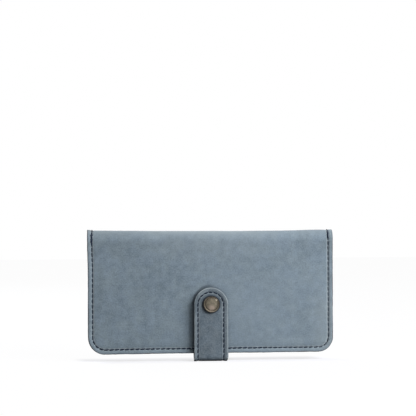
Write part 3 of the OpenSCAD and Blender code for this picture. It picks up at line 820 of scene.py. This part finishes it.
def stitchRow(name, panel, seams, height, body=None, settings=stitching, keep=None, slim=None):
    # height(x, s) is the surface that the stitches lie on, from the panel's outer side,
    # and slim(x, s) a share of their radius
    points, faces, flat = [], [], []
    rings, sides = settings["rings"], settings["sides"]
    for number, seam in enumerate(seams):
        count = max(1, round(seam.length / settings["pitch"]))
        pitch = seam.length / count
        for n in range(count):
            middle = (n + 0.5) * pitch
            x, s = seam.at(middle)
            if keep and not keep(x, s):
                continue
            stray = Vector((n * 0.73, number * 5.1, 3.7))
            aside = settings["stray"] * noise.noise(stray)
            long = settings["length"] * (1 + settings["uneven"] * noise.noise(stray * 1.7))
            phase = 3 * noise.noise(stray * 2.3)
            base = len(points)
            for k in range(rings):
                f = 2 * k / (rings - 1) - 1
                run = middle + f * long / 2
                x, s = seam.at(run)
                ahead = Vector(seam.at(run + probe)) - Vector(seam.at(run - probe))
                ahead.normalize()
                off = aside + f * settings["slant"]
                x, s = x - ahead.y * off, s + ahead.x * off
                up = panel.outward(s)
                along = (panel.at(x + ahead.x * probe, s + ahead.y * probe) - panel.at(x, s)).normalized()
                sideways = along.cross(up)
                rise = settings["lift"] - settings["dive"] * abs(f) ** 5 + height(x, s)
                radius = settings["radius"] * (1 - settings["thin"] * abs(f) ** 4)
                if slim:
                    radius *= slim(x, s)
                centre = panel.at(x, s, rise)
                for m in range(sides):
                    angle = 2 * math.pi * m / sides
                    lobe = settings["lobe"] * math.cos(2 * (angle - settings["twist"] * f - phase))
                    around = sideways * math.cos(angle) + up * math.sin(angle) * settings["squat"]
                    points.append(centre + around * (radius * (1 + lobe)))
                    flat.extend((x, s, angle / 6 * mm))
            for k in range(rings - 1):
                for m in range(sides):
                    a, b = base + k * sides, base + (k + 1) * sides
                    faces.append([a + m, a + (m + 1) % sides, b + (m + 1) % sides, b + m])
            faces.append([base + m for m in range(sides)])
            faces.append([base + (rings - 1) * sides + m for m in reversed(range(sides))])
    piece = meshPiece(name, points, faces, None, flat, 60)
    dress(piece, "navy_thread")
    if body:
        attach(piece, body)
    return piece


# Worn out of true: the ends of the fold stand higher than its middle and its left end leans out,
# the lower left corner hangs a little and the right edge bows out. Each has its most and its reach.
wornShape = {
    "foldLeft": (1.13 * mm, 58 * mm), "foldTip": (0.55 * mm, 7 * mm), "foldRight": (0.90 * mm, 31 * mm),
    "below": 14 * mm, "lean": (0.40 * mm, 20 * mm), "leanFrom": 22 * mm, "hang": (0.5 * mm, 30 * mm),
    "bow": (0.14 * mm, 40 * mm), "spread": (0.50 * mm, 12 * mm)
}
coverParts = [(flatRun, 0), (foldArc, foldRadius)]
halves = {
    "front": bentPath((frontFace, coverBottom), (0, 1), -1, coverParts),
    "back": bentPath((backFace, coverBottom), (0, 1), 1, coverParts),
}


def smooth(value):
    value = min(max(value, 0), 1)
    return value * value * (3 - 2 * value)


def worn(x, s):
    look = wornShape
    left, right = max(coverHalf + x, 0), max(coverHalf - x, 0)

    def near(key, far):
        return look[key][0] * bump(far, 0, look[key][1])
    rise = sum(look[key][0] * math.exp(-left / look[key][1]) for key in ("foldLeft", "foldTip"))
    rise += near("foldRight", right)
    upper = smooth((s - flatRun + look["below"]) / (look["below"] + foldArc))
    lean = near("lean", left) * smooth((s - flatRun + look["leanFrom"]) / look["leanFrom"])
    hang = near("hang", left) * bump(s, 0, look["hang"][1])
    bow = near("bow", right) + near("spread", right) * smooth((s - flatRun) / foldArc)
    return x - lean + bow, s - hang, rise * upper


def coverPieces(side, look):
    path = halves[side]
    fine = [(flatRun - 3 * mm, coverEnd, look["foldStep"])]
    corners = [look["leftCorner"], look["rightCorner"]]
    panel = Panel(
        path, (-coverHalf, coverHalf), (0, coverEnd), (corners, None),
        thickness=coverLeather, fine=fine, wander=look["wander"], sway=worn
    )
    panel.relief = sewnRelief(panel, look)
    cover = dress(panel.mesh(side + "CoverLeather"), "cover_leather", side + "_cover", "spine_fold")
    if side == "front":
        cover.data.materials[0] = leatherFinish("frontNubuck", dict(coverLook, shadedUnderTab=look["shadedUnderTab"]))
    inset = coverHalf - liningHalf
    lining = Panel(
        path, (-liningHalf, liningHalf), (inset, coverEnd), ([radius - inset for radius in corners], None),
        depth=coverLeather, thickness=liningInner - coverLeather - clearance, fine=fine, sway=worn
    )
    lining.relief = lambda x, s, rim: -clearance
    lined = dress(lining.mesh(side + "LiningLeather"), "lining_leather", side + "_lining", "spine_lining")
    x = coverHalf - look["seam"]
    hidden = tabHalf + look["underTab"]

    def shows(x, s):
        # The back's seam stops where the tab's sewn end covers it
        return side == "front" or abs(x) > hidden or s > anchorTop - coverBottom

    def proud(x, s):
        return look["proud"] * smooth((s - flatRun) / foldArc)

    def slim(x, s):
        start, run = look["slimUp"]
        aside = smooth((abs(x) - coverHalf + look["slimIn"]) / mm)
        upright = smooth((s - start) / run) * smooth((flatRun - s) / run)
        start, run = look["slimRightRun"]
        return 1 - look["slim"] * aside * upright - look["slimRight"] * smooth((x - start) / run)
    thread = stitchRow(side + "CoverThread", panel, [coverTrack(look)], proud, keep=shows, slim=slim)
    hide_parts(side + "_cover_thread", "spine_thread")
    tacks = []
    for edge, (offset, start, end) in ((-x, look["leftTack"]), (x, look["rightTack"])):
        tacks.append(Seam([Vector((edge + offset, flatRun + s)) for s in (start, end)]))
    tack = stitchRow(side + "CoverBackTack", panel, tacks, proud, settings=tackStitching)
    for piece in (cover, lined, thread, tack):
        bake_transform(piece)


for side in ("front", "back"):
    coverPieces(side, coverSewing)
print("covers made")

# Tab: a front half with the round end and a back half with the sewn end, joined under the wallet
tabSewing = {
    "seam": 3.0 * mm, "groove": 0.30 * mm, "grooveWidth": 0.62 * mm, "puff": 0.14 * mm, "swell": 0.12 * mm,
    "swellWide": 2.2 * mm, "ripple": 0.10 * mm, "ridge": 0, "lip": 0.28 * mm,
    "dip": 0.38 * mm, "dipWidth": 7.4 * mm, "dipAt": tabTip - snapZ, "radius": 3 * mm,
    "wander": 0.06 * mm, "bendStep": 0.5 * mm, "liningInset": 0.12 * mm, "capAside": 0.20 * mm,
    "sunk": 0.069 * mm, "flush": 0.25 * mm
}
# The seam sits a little to the left, and the margin is widest round the tip
tabShape = {"aside": 0.55 * mm, "drop": 1.00 * mm, "taper": 0.8 * mm, "taperFrom": 5 * mm}
underHalf = (tabBack - tabFront) / 2 - tabBend
bendArc = tabBend * quarter


def tabSway(x, s):
    look, seam = tabShape, tabSewing["seam"]
    away = Vector((x, s - tabHalf))
    if s < tabHalf and away.length > 0:
        far = away.length
        out = look["drop"] * (smooth((far - tabHalf + seam) / seam) - smooth(far / (tabHalf - seam)))
        out *= min(1 - s / tabHalf, 1)
        x, s = x + away.x / far * out, s + away.y / far * out
    return x - look["aside"] * smooth((tabHalf - x) / seam), s, 0


def tabPieces(side):
    front = side == "front"
    straight = (tabTip if front else anchorTop) - tabBend
    parts = [(straight, 0), (bendArc, tabBend), (underHalf, 0)]
    start = (tabFront, tabTip) if front else (tabBack, anchorTop)
    path = bentPath(start, (0, -1), 1 if front else -1, parts)
    end = straight + bendArc + underHalf
    radius = tabHalf if front else tabSewing["radius"]

    def sway(x, s):
        # It narrows a little where it turns at the back and, on the right, at the front
        x, along, out = tabSway(x, s if front else math.inf)
        if not front:
            narrow = smooth((s - straight) / tabShape["taperFrom"] + 1)
        elif x > 0:
            narrow = smooth((s - straight) / bendArc)
        else:
            narrow = smooth((s - straight - bendArc) / underHalf)
        return x * (1 - tabShape["taper"] / tabHalf * narrow), along if front else s, out
    bend = (straight - mm, straight + bendArc + mm, tabSewing["bendStep"])
    shared = {"band": tabHalf, "step": 1.1 * mm, "fine": [bend], "sway": sway}
    outer = Panel(
        path, (-tabHalf, tabHalf), (0, end), ([radius] * 2, None),
        thickness=tabLeather, wander=tabSewing["wander"], **shared
    )
    sewing = dict(tabSewing, dip=tabSewing["dip"] if front else 0)
    outer.relief = sewnRelief(outer, sewing)
    # Share of painted shade where the tab turns under the wallet
    outer.under = lambda s: smooth((s - straight) / bendArc * 2.4 - 0.6)
    inset = tabSewing["liningInset"]
    inner = Panel(
        path, (-tabHalf + inset, tabHalf - inset), (inset, end), ([radius - inset] * 2, None),
        depth=tabLeather, thickness=tabThickness - tabLeather - clearance,
        **dict(shared, band=tabHalf - inset)
    )
    inner.relief = lambda x, s, rim: -clearance
    nodes = ["tab_flap", "tab_under"] if front else ["tab_anchor", "tab_under"]
    leather = dress(outer.mesh(side + "TabLeather"), "tab_leather", *[n + "_outer" for n in nodes])
    if front:
        cap = (tabSewing["capAside"], tabTip - snapZ, 0)
        leather.data.materials[0] = leatherFinish("tabTipNubuck", dict(tabLook, press=cap))
    lined = dress(inner.mesh(side + "TabLining"), "lining_leather", *[n + "_lining" for n in nodes])
    seam = tabSewing["seam"]
    x = tabHalf - seam
    bow = x if front else max(radius - seam, 0.4 * mm)
    seams = [Seam(roundedRun([(-x, end), (-x, seam), (x, seam), (x, end)], [bow, bow]))]
    if not front:
        across = anchorTop - coverBottom - coverSewing["seam"]
        seams.append(Seam([Vector((-x, across)), Vector((x, across))]))

    def sunk(x, s):
        # Under the wallet the thread lies flush, so that the tab rests on its leather
        return -tabSewing["sunk"] - (tabSewing["flush"] if s > straight + bendArc * 0.6 else 0)
    thread = stitchRow(side + "TabThread", outer, seams, sunk)
    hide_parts(*[n + "_thread" for n in nodes])
    face = tabFront if front else tabBack
    sign = 1 if front else -1
    under, upright = (0, face + sign * 1.5 * tabBend, 0), (0, face, tabBend + 1.5 * mm)
    for piece in (leather, lined, thread):
        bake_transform(piece)


for side in ("front", "back"):
    tabPieces(side)
print("tab made")


def lathe(name, profile, centre, facing, segments=72, rimAt=None):
    # profile holds (radius, height) from the middle outwards, and facing is -1 towards the front
    points, faces, rims, flats = [], [], [], []
    widest = max(radius for radius, height in profile)
    for radius, height in profile:
        for n in range(segments):
            angle = 2 * math.pi * n / segments
            x, z = radius * math.cos(angle), radius * math.sin(angle)
            points.append(centre + Vector((x, facing * height, z)))
            rims.append(rimAt(radius, height) if rimAt else 0.0)
            flats.extend((x / widest, z / widest, 0.0))
    for k in range(len(profile) - 1):
        for n in range(segments):
            a, b = k * segments, (k + 1) * segments
            m = (n + 1) % segments
            faces.append([a + n, a + m, b + m, b + n])
    faces.append(list(range(segments)))
    faces.append(list(range((len(profile) - 1) * segments, len(profile) * segments)))
    return meshPiece(name, points, faces, rims, flats, 35)


# Snap cap: a low dome, a shallow groove and a rolled rim, with a turned in foot
capShape = {
    "dome": 0.76, "groove": 0.81, "dish": 0.42 * mm, "depth": 0.20 * mm, "wall": 0.4 * mm, "roll": 0.5,
    "foot": [(0.985, 0.25 * mm), (0.93, 0.02 * mm), (0.3, 0)]
}


def capPiece(shape):
    bottom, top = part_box("snap_cap")
    radius = (top.x - bottom.x) / 2
    tall = tabFront - bottom.y
    dome, groove = radius * shape["dome"], radius * shape["groove"]
    profile = [(radius * 0.01, tall)]
    for n in range(1, 15):
        share = n / 14
        profile.append((dome * share, tall - shape["dish"] * share ** 2.2))
    edge = tall - shape["dish"]
    for n in range(1, 7):
        sunk = shape["depth"] * math.sin(math.pi * n / 6) ** 0.8
        profile.append((dome + 2 * (groove - dome) * n / 6, edge - sunk))
    roll = (radius - (2 * groove - dome)) / 2
    for n in range(1, 13):
        angle = math.pi * n / 12
        height = edge + roll * shape["roll"] * math.sin(angle)
        profile.append((radius - roll - roll * math.cos(angle), height))
    profile.append((radius, edge - shape["wall"]))
    profile += [(radius * share, height) for share, height in shape["foot"]]
    centre = Vector(((bottom.x + top.x) / 2, tabFront, snapZ))

    # Patina in the groove, and painted shade on the cap's side below the rim
    def hollow(r, height):
        return 0.35 * bump(r, groove, radius * 0.05) if height > 0.6 * mm else 1.0
    cap = dress(lathe("snapCap", profile, centre, -1, rimAt=hollow), "antique_brass", "snap_cap")
    cap.data.materials[0] = capFinish("rubbedAndLitCap", capLook)
    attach(cap, "tab_flap")


def roundedEdges(piece, width):
    rounded = piece.modifiers.new("roundedEdges", "BEVEL")
    rounded.width = width
    rounded.segments = 2
    return rounded


capPiece(capShape)
for node, slot in (
    ("snap_stud", "antique_brass"), ("snap_eyelet", "antique_brass"), ("snap_socket", "antique_brass"),
    ("snap_spring", "spring_steel"), ("zip_stops", "antique_brass")
):
    metal = frame["nodes"][node]
    dress(metal, slot)
    metal.data.polygons.foreach_set("use_smooth", [True] * len(metal.data.polygons))
    metal.data.set_sharp_from_angle(angle=math.radians(35))
    if node != "snap_spring":
        roundedEdges(metal, 0.08 * mm)
print("snap made")

# Pockets and card slots: each panel faces the middle of the folded wallet
pocketCorner = [10.9 * mm] * 2
mouthCorner = [1.2 * mm] * 2
creaseLook = {"at": 2.2 * mm, "deep": 0.12 * mm, "wide": 0.35 * mm, "ripple": 0.05 * mm, "sunk": 0.03 * mm}


def pocketRelief(panel, mouth):
    # A crease runs along the mouth of each pocket
    def height(x, s, rim):
        look = creaseLook
        lift = look["ripple"] * noise.noise(panel.at(x, s) / (19 * mm)) * min(rim / mm, 1)
        return lift - look["deep"] * bump(mouth - s, look["at"], look["wide"]) - look["sunk"]
    return height


def pocketPanel(name, node, slot, body, windows=(), corners=pocketCorner, step=4 * mm):
    bottom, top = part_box(node)
    facing = 1 if body == "front" else -1
    face = top.y if facing > 0 else bottom.y
    path = bentPath((face, bottom.z), (0, 1), facing)
    tall = top.z - bottom.z
    panel = Panel(
        path, (bottom.x, top.x), (0, tall), (corners, mouthCorner), band=pocketCorner[0],
        thickness=top.y - bottom.y - clearance, step=step,
        windows=[(x0, x1, z0 - bottom.z, z1 - bottom.z) for x0, x1, z0, z1 in windows]
    )
    panel.relief = pocketRelief(panel, tall)
    piece = dress(panel.mesh(name), slot, node)
    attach(piece, body)
    return panel


windowGap = {"ends": 0.2 * mm, "sides": 2.25 * mm}  # kept open round the zip
window = (
    low("zip_stops").x - windowGap["ends"], high("zip_stops").x + windowGap["ends"],
    low("zip_teeth_lower").z - windowGap["sides"], high("zip_teeth_upper").z + windowGap["sides"]
)
pocketPanel("banknotePocket", "bill_pocket", "pocket_leather", "back")
pocketPanel("coinPocketBack", "coin_back", "lining_leather", "back")
coinFront = pocketPanel("coinPocketFront", "coin_front", "pocket_leather", "back", [window])
slipPanel = pocketPanel("slipPocket", "slip_pocket", "pocket_leather", "front")


# Inner stitches: how deep they lie, how far they stop short of a mouth that covers them and of a
# panel's edge, and how far a card slot's middle seam lies from its edge and from its foot
innerSewing = {"sunk": 0.20 * mm, "clear": 0.4 * mm, "end": 0.6 * mm, "middle": 2 * mm, "foot": 2.2 * mm}


def innerThread(name, panel, node, body, seams, above=0.0):
    # Stitches that show on a panel's inner face, down to the next panel's mouth
    bottom = low(node).z

    def shows(x, s):
        return bottom + s > above + innerSewing["clear"]

    def sunk(x, s):
        return -innerSewing["sunk"]
    thread = stitchRow(name, panel, seams, sunk, body, keep=shows)
    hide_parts(node)


def rimSeam(panel):
    # The covers' own seam, which goes through every layer, or just one side and the foot of it
    inset = low("bill_pocket").z - coverBottom
    x, s = coverHalf - coverSewing["seam"], coverSewing["seam"] - inset
    tall = panel.last
    bows = [coverSewing[key] - coverSewing["seam"] for key in ("leftCorner", "rightCorner")]
    if panel.right < coverHalf / 2:
        return Seam(roundedRun([(-x, tall), (-x, s), (panel.right - innerSewing["end"], s)], bows))
    if panel.left > -coverHalf / 2:
        return Seam(roundedRun([(panel.left + innerSewing["end"], s), (x, s), (x, tall)], bows[1:]))
    return Seam(roundedRun([(-x, tall), (-x, s), (x, s), (x, tall)], bows))


windowSeam = {"inset": 1.8 * mm, "radius": 1.2 * mm}


def windowTrack(seam):
    x0, x1, z0, z1 = window
    bottom = low("coin_front").z
    x0, x1 = x0 - seam["inset"], x1 + seam["inset"]
    s0, s1 = z0 - bottom - seam["inset"], z1 - bottom + seam["inset"]
    corners = [(0, s0), (x1, s0), (x1, s1), (x0, s1), (x0, s0), (0, s0)]
    return Seam(roundedRun(corners, [seam["radius"]] * 4))


coinSeams = [rimSeam(coinFront), windowTrack(windowSeam)]
innerThread("coinPocketThread", coinFront, "coin_front", "back", coinSeams)
slotsTop = high("card_slot_left_1").z
innerThread("slipPocketThread", slipPanel, "slip_pocket", "front", [rimSeam(slipPanel)], slotsTop)


def gussetPieces():
    # The coin pocket's sides are a strip that is folded once, so it shows as two leaves
    bottom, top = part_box("coin_gusset")
    strip = 6 * mm
    inside = (bottom.x + strip, top.x - strip, strip, high("zip_tape_upper").z + 0.1 * mm - bottom.z)
    half = (top.y - bottom.y) / 2
    for number, name in enumerate(("gussetInnerLeaf", "gussetOuterLeaf")):
        face = bottom.y + number * half
        path = bentPath((face, bottom.z), (0, 1), -1)
        panel = Panel(
            path, (bottom.x, top.x), (0, top.z - bottom.z), (pocketCorner, mouthCorner), band=pocketCorner[0],
            thickness=half - 2 * clearance, step=6 * mm, windows=[inside]
        )
        panel.relief = lambda x, s, rim: 0.0
        leaf = dress(panel.mesh(name), "lining_leather", "coin_gusset")
        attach(leaf, "back")


gussetPieces()
slotTiers = 4
slotCorners = {"left": [pocketCorner[0], 0.6 * mm], "right": [0.6 * mm, pocketCorner[0]]}
for column, corners in slotCorners.items():
    for tier in range(1, slotTiers + 1):
        node = "card_slot_" + column + "_" + str(tier)
        name = column + "CardSlot" + str(tier)
        panel = pocketPanel(name, node, "pocket_leather", "front", corners=corners, step=3 * mm)
        aside, foot = innerSewing["middle"], innerSewing["foot"]
        middle = panel.right - aside if column == "left" else panel.left + aside
        seams = [rimSeam(panel), Seam([Vector((middle, panel.last)), Vector((middle, foot))])]
        above = high("card_slot_" + column + "_" + str(tier + 1)).z if tier < slotTiers else 0
        innerThread(column + "CardSlotThread" + str(tier), panel, node, "front", seams, above)
print("pockets made")

# Zip: woven tapes with a corded edge, metal teeth that grip the cord, a slider and its pull
zipLook = {"pitch": 2.5 * mm, "cord": 0.42 * mm, "pinch": 0.06 * mm}
zipY = (low("zip_teeth_lower").y + high("zip_teeth_lower").y) / 2
zipZ = (low("zip_teeth_lower").z + high("zip_teeth_upper").z) / 2
cordZ = high("zip_teeth_upper").z - 0.4 * mm - zipZ
# A tooth from its legs to its nose: distance from the zip's middle, half width and half thickness
toothRings = [
    (2.36, 0.36, 0.52), (2.30, 0.50, 0.68), (2.10, 0.58, 0.78), (1.60, 0.60, 0.80), (1.35, 0.50, 0.70),
    (1.10, 0.46, 0.62), (0.92, 0.52, 0.68), (0.78, 0.60, 0.76), (0.50, 0.60, 0.76), (0.34, 0.50, 0.66),
    (0.27, 0.34, 0.46)
]


def ringed(parts, closed=False):
    # Joins neighbouring rings of as many points into one skin, with caps unless it closes on itself
    count, size = len(parts), len(parts[0])
    points = [point for ring in parts for point in ring]
    faces = []
    for k in range(count if closed else count - 1):
        a, b = k * size, (k + 1) % count * size
        faces += [[a + n, a + (n + 1) % size, b + (n + 1) % size, b + n] for n in range(size)]
    if not closed:
        faces += [list(range(size)), list(range((count - 1) * size, count * size))]
    return points, faces


def joined(name, solids, slot, node, body, flat=False):
    points, faces = [], []
    for solidPoints, solidFaces in solids:
        faces += [[len(points) + corner for corner in face] for face in solidFaces]
        points += solidPoints
    values = [value for p in points for value in (p.x, p.z, p.y)] if flat else None
    piece = dress(meshPiece(name, points, faces, None, values, 35), slot, node)
    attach(piece, body)
    return piece


def tooth(x, side):
    rings = []
    angles = [2 * math.pi * (n + 0.5) / 8 for n in range(8)]
    for far, wide, thick in toothRings:
        # The ring's flats lie at those half widths, so its corners lie a little further out
        wide, thick, z = wide * 1.08 * mm, thick * 1.08 * mm, zipZ + side * far * mm
        rings.append([Vector((x + math.cos(a) * wide, zipY + math.sin(a) * thick, z)) for a in angles])
    return ringed(rings)


def edgeCord(side, start, end, pitch):
    # The cord is pinched in by every tooth
    rings = []
    angles = [2 * math.pi * n / 10 for n in range(10)]
    steps = round((end - start) / (pitch / 5))
    for k in range(steps + 1):
        x = start + (end - start) * k / steps
        pinch = zipLook["pinch"] * (1 + math.cos(2 * math.pi * (x - start) / pitch)) / 2
        radius, z = zipLook["cord"] - pinch, zipZ + side * cordZ
        rings.append([Vector((x, zipY + radius * math.cos(a), z + radius * math.sin(a))) for a in angles])
    return ringed(rings)


def zipSide(name, side):
    tape, teeth = "zip_tape_" + name, "zip_teeth_" + name
    label = name.capitalize()
    bottom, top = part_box(tape)
    panel = Panel(
        bentPath((bottom.y, bottom.z), (0, 1), -1), (bottom.x, top.x), (0, top.z - bottom.z),
        ([0.8 * mm] * 2, [0.8 * mm] * 2), thickness=top.y - bottom.y - 2 * clearance, step=3 * mm
    )
    panel.relief = lambda x, s, rim: -clearance
    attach(dress(panel.mesh("zipTape" + label), "zip_tape", tape), "back")
    pitch = zipLook["pitch"]
    cord = [edgeCord(side, bottom.x + mm, top.x - mm, pitch)]
    joined("zipCord" + label, cord, "zip_tape", tape, "back", True)
    first = low(teeth).x + (0.5 if side < 0 else 1.0) * pitch
    count = int((high(teeth).x - first) / pitch + 0.9)
    row = [tooth(first + n * pitch, side) for n in range(count)]
    joined("zipTeeth" + label, row, "antique_brass", teeth, "back")


zipSide("lower", -1)
zipSide("upper", 1)


def slab(outline, front, back):
    # A flat plate with that outline in X and Z, in mm from the middle of the slider
    middle = (low("zip_slider").x + high("zip_slider").x) / 2
    return ringed([
        [Vector((middle + x * mm, y, zipZ + z * mm)) for x, z in outline] for y in (front, back)
    ])


# Half outlines along the zip and away from its middle, and the post as (radius, below its top), in mm
sliderLook = {
    "plate": [
        (-5.5, 2.3), (-5.2, 3.0), (-3.6, 3.35), (1.6, 3.75), (3.6, 4.0), (4.8, 3.75), (5.5, 2.7), (5.2, 1.0),
        (4.9, 0.0)
    ],
    "lip": [(-5.1, 2.55), (-5.1, 3.0), (-3.5, 3.3), (1.6, 3.7), (3.5, 3.9), (3.9, 2.55)],
    "wedge": [(-1.3, 0.0), (-0.7, 0.14), (0.9, 0.14), (1.35, 0.0)],
    "post": [(0.05, 0), (0.7, 0.03), (1.1, 0.12), (1.3, 0.26), (1.3, 0.34), (1.2, 0.4), (0.8, 0.4)],
    "plateThick": 0.6 * mm, "lipTall": 0.55 * mm, "edges": 0.12 * mm
}


def zipSlider(look):
    bottom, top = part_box("zip_slider")
    back = top.y - look["plateThick"]
    front = 2 * zipY - back
    mirrored = look["plate"] + [(x, -z) for x, z in reversed(look["plate"][:-1])]
    wedge = look["wedge"] + [(x, -z) for x, z in reversed(look["wedge"][1:-1])]
    face = front - look["plateThick"]
    solids = [slab(mirrored, face, front), slab(mirrored, back, top.y), slab(wedge, front, back)]
    for sign in (1, -1):
        lip = [(x, sign * z) for x, z in look["lip"]]
        solids += [slab(lip, front, front + look["lipTall"]), slab(lip, back - look["lipTall"], back)]
    slider = joined("zipSlider", solids, "antique_brass", "zip_slider", "slider")
    roundedEdges(slider, look["edges"]).limit_method = "ANGLE"
    middle = Vector(((bottom.x + top.x) / 2, face, zipZ))
    tall = middle.y - bottom.y
    profile = [(radius * mm, tall - below * mm) for radius, below in look["post"]] + [(0.8 * mm, -0.1 * mm)]
    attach(dress(lathe("zipSliderPost", profile, middle, -1, 32), "antique_brass", "zip_slider"), "slider")


# The pull from its eye to its rounded tip: distance below the post and half width, in mm
pullLook = {
    "blade": [(2.1, 1.75), (3.2, 1.62), (5.0, 1.66), (8.0, 1.86), (12.0, 2.14), (16.0, 2.40), (17.8, 2.46)],
    "tip": (17.8, 2.46, 2.2), "eye": 2.5, "hole": 1.0, "rim": 0.55, "sunk": 0.22 * mm
}


def pullOutline(look):
    # Right half from the top of the eye to the tip, as (across, below), then the left half
    eye = look["eye"]
    right = [(eye * math.sin(math.pi * n / 16), -eye * math.cos(math.pi * n / 16)) for n in range(12)]
    right += [(wide, far) for far, wide in look["blade"]]
    start, wide, deep = look["tip"]
    for n in range(1, 9):
        angle = quarter * n / 8
        right.append((wide * math.cos(angle), start + deep * math.sin(angle)))
    return right + [(-x, far) for x, far in reversed(right[1:-1])]


def zipPull(look):
    bottom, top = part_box("zip_pull")
    outline = pullOutline(look)
    eye = Vector(((bottom.x + top.x) / 2, 0, zipZ))

    def ring(points, y):
        return [eye + Vector((x * mm, y, -far * mm)) for x, far in points]

    def shrunk(inset):
        # The outline moved inwards
        moved = []
        for n, (x, far) in enumerate(outline):
            before, after = outline[n - 1], outline[(n + 1) % len(outline)]
            along = Vector((after[0] - before[0], after[1] - before[1])).normalized()
            moved.append((x - along.y * inset, far + along.x * inset))
        return moved

    def hole(radius):
        # As many points round the hole, each towards its own point of the outline
        return [(x * radius / math.hypot(x, far), far * radius / math.hypot(x, far)) for x, far in outline]
    inside, rim, sunk = look["hole"], look["rim"], look["sunk"]
    steps = [
        (hole(inside), 0.1 * mm), (hole(inside + 0.1), 0), (hole(inside + 0.5), 0),
        (hole(inside + 0.62), sunk), (shrunk(rim + 0.15), sunk), (shrunk(rim), 0),
        (shrunk(0.12), 0), (outline, 0.12 * mm)
    ]
    rings = [ring(points, bottom.y + y) for points, y in steps]
    rings += [ring(points, top.y - y) for points, y in reversed(steps)]
    joined("zipPull", [ringed(rings, closed=True)], "antique_brass", "zip_pull", "pull")


zipSlider(sliderLook)
zipPull(pullLook)
print("zip made")

# Floor and light
floorLook = {
    "half": 2.0, "colour": (0.47, 0.47, 0.47), "seenColour": (0.80, 0.81, 0.93), "under": 0.72, "near": 0.97,
    "edge": 14 * mm
}


def makeFloor(look):
    half = look["half"]
    corners = [(-half, -half, 0), (half, -half, 0), (half, half, 0), (-half, half, 0)]
    floor = meshPiece("floor", [Vector(c) for c in corners], [[0, 1, 2, 3]])
    floor.location.z = -clearance
    paper = Finish("paper", {"Roughness": 0.9})
    seen = paper.add("ShaderNodeLightPath", None, None, "Is Camera Ray")
    mirrored = paper.add("ShaderNodeLightPath", None, None, "Is Glossy Ray")
    paper.feed(Base_Color=paper.mixed(seen, look["colour"], look["seenColour"]))
    # White as seen, apart from the shadow that shows under and close beside the wallet
    place = paper.add("ShaderNodeTexCoord", None, None, "Object")
    away = []
    for part, reach in zip(paper.parts(place, 0, 1), (coverHalf, foldRadius)):
        away.append(part.maths("ABSOLUTE", part).between(reach, reach + look["edge"]))
    outside = away[0].maths("MAXIMUM", *away)
    share = look["under"] + outside * (look["near"] - look["under"])
    white = paper.add("ShaderNodeEmission", None, {"Color": (1, 1, 1), "Strength": 1.0})
    shown = seen * share + mirrored * share
    plain = Wire(paper, paper.shader.outputs[0])
    mix = paper.add("ShaderNodeMixShader", None, {0: shown, 1: plain, 2: white})
    output = next(n for n in paper.tree.nodes if n.type == "OUTPUT_MATERIAL")
    paper.tree.links.new(mix.socket, output.inputs[0])
    floor.data.materials.append(paper.material)


lightLook = {
    "ambient": 0.05,
    "keyLamp": ((0.62, -0.47, 0.60), 0.62, 14.5), "topLamp": ((0.1, -0.15, 0.9), 0.8, 0.5),
    "backLamp": ((-0.52, 0.62, 0.48), 0.6, 7.0)
}


def areaLamp(name, place, size, power):
    lamp = bpy.data.objects.new(name, bpy.data.lights.new(name, "AREA"))
    lamp.data.size = size
    lamp.data.energy = power
    lamp.location = place
    lamp.rotation_euler = (Vector(place) - Vector((0, 0, 0.05))).to_track_quat("Z", "Y").to_euler()
    bpy.context.scene.collection.objects.link(lamp)


def setLight(look):
    for name in ("keyLamp", "topLamp", "backLamp"):
        areaLamp(name, *look[name])
    world = bpy.data.worlds.new("whiteRoom")
    world.use_nodes = True
    bpy.context.scene.world = world
    nodes = Nodes(world.node_tree)
    path = {key: nodes.add("ShaderNodeLightPath", None, None, key) for key in (
        "Is Camera Ray", "Is Glossy Ray", "Is Transmission Ray"
    )}
    direct = path["Is Camera Ray"] + path["Is Glossy Ray"] + path["Is Transmission Ray"]
    strength = look["ambient"] + direct.between(0, 1) * (1 - look["ambient"])
    sky = nodes.add("ShaderNodeBackground", None, {"Color": (1, 1, 1), "Strength": strength})
    nodes.add("ShaderNodeOutputWorld", None, {0: sky})
    bpy.context.scene.view_settings.view_transform = "Standard"


makeFloor(floorLook)
setLight(lightLook)
print("floor and light set")
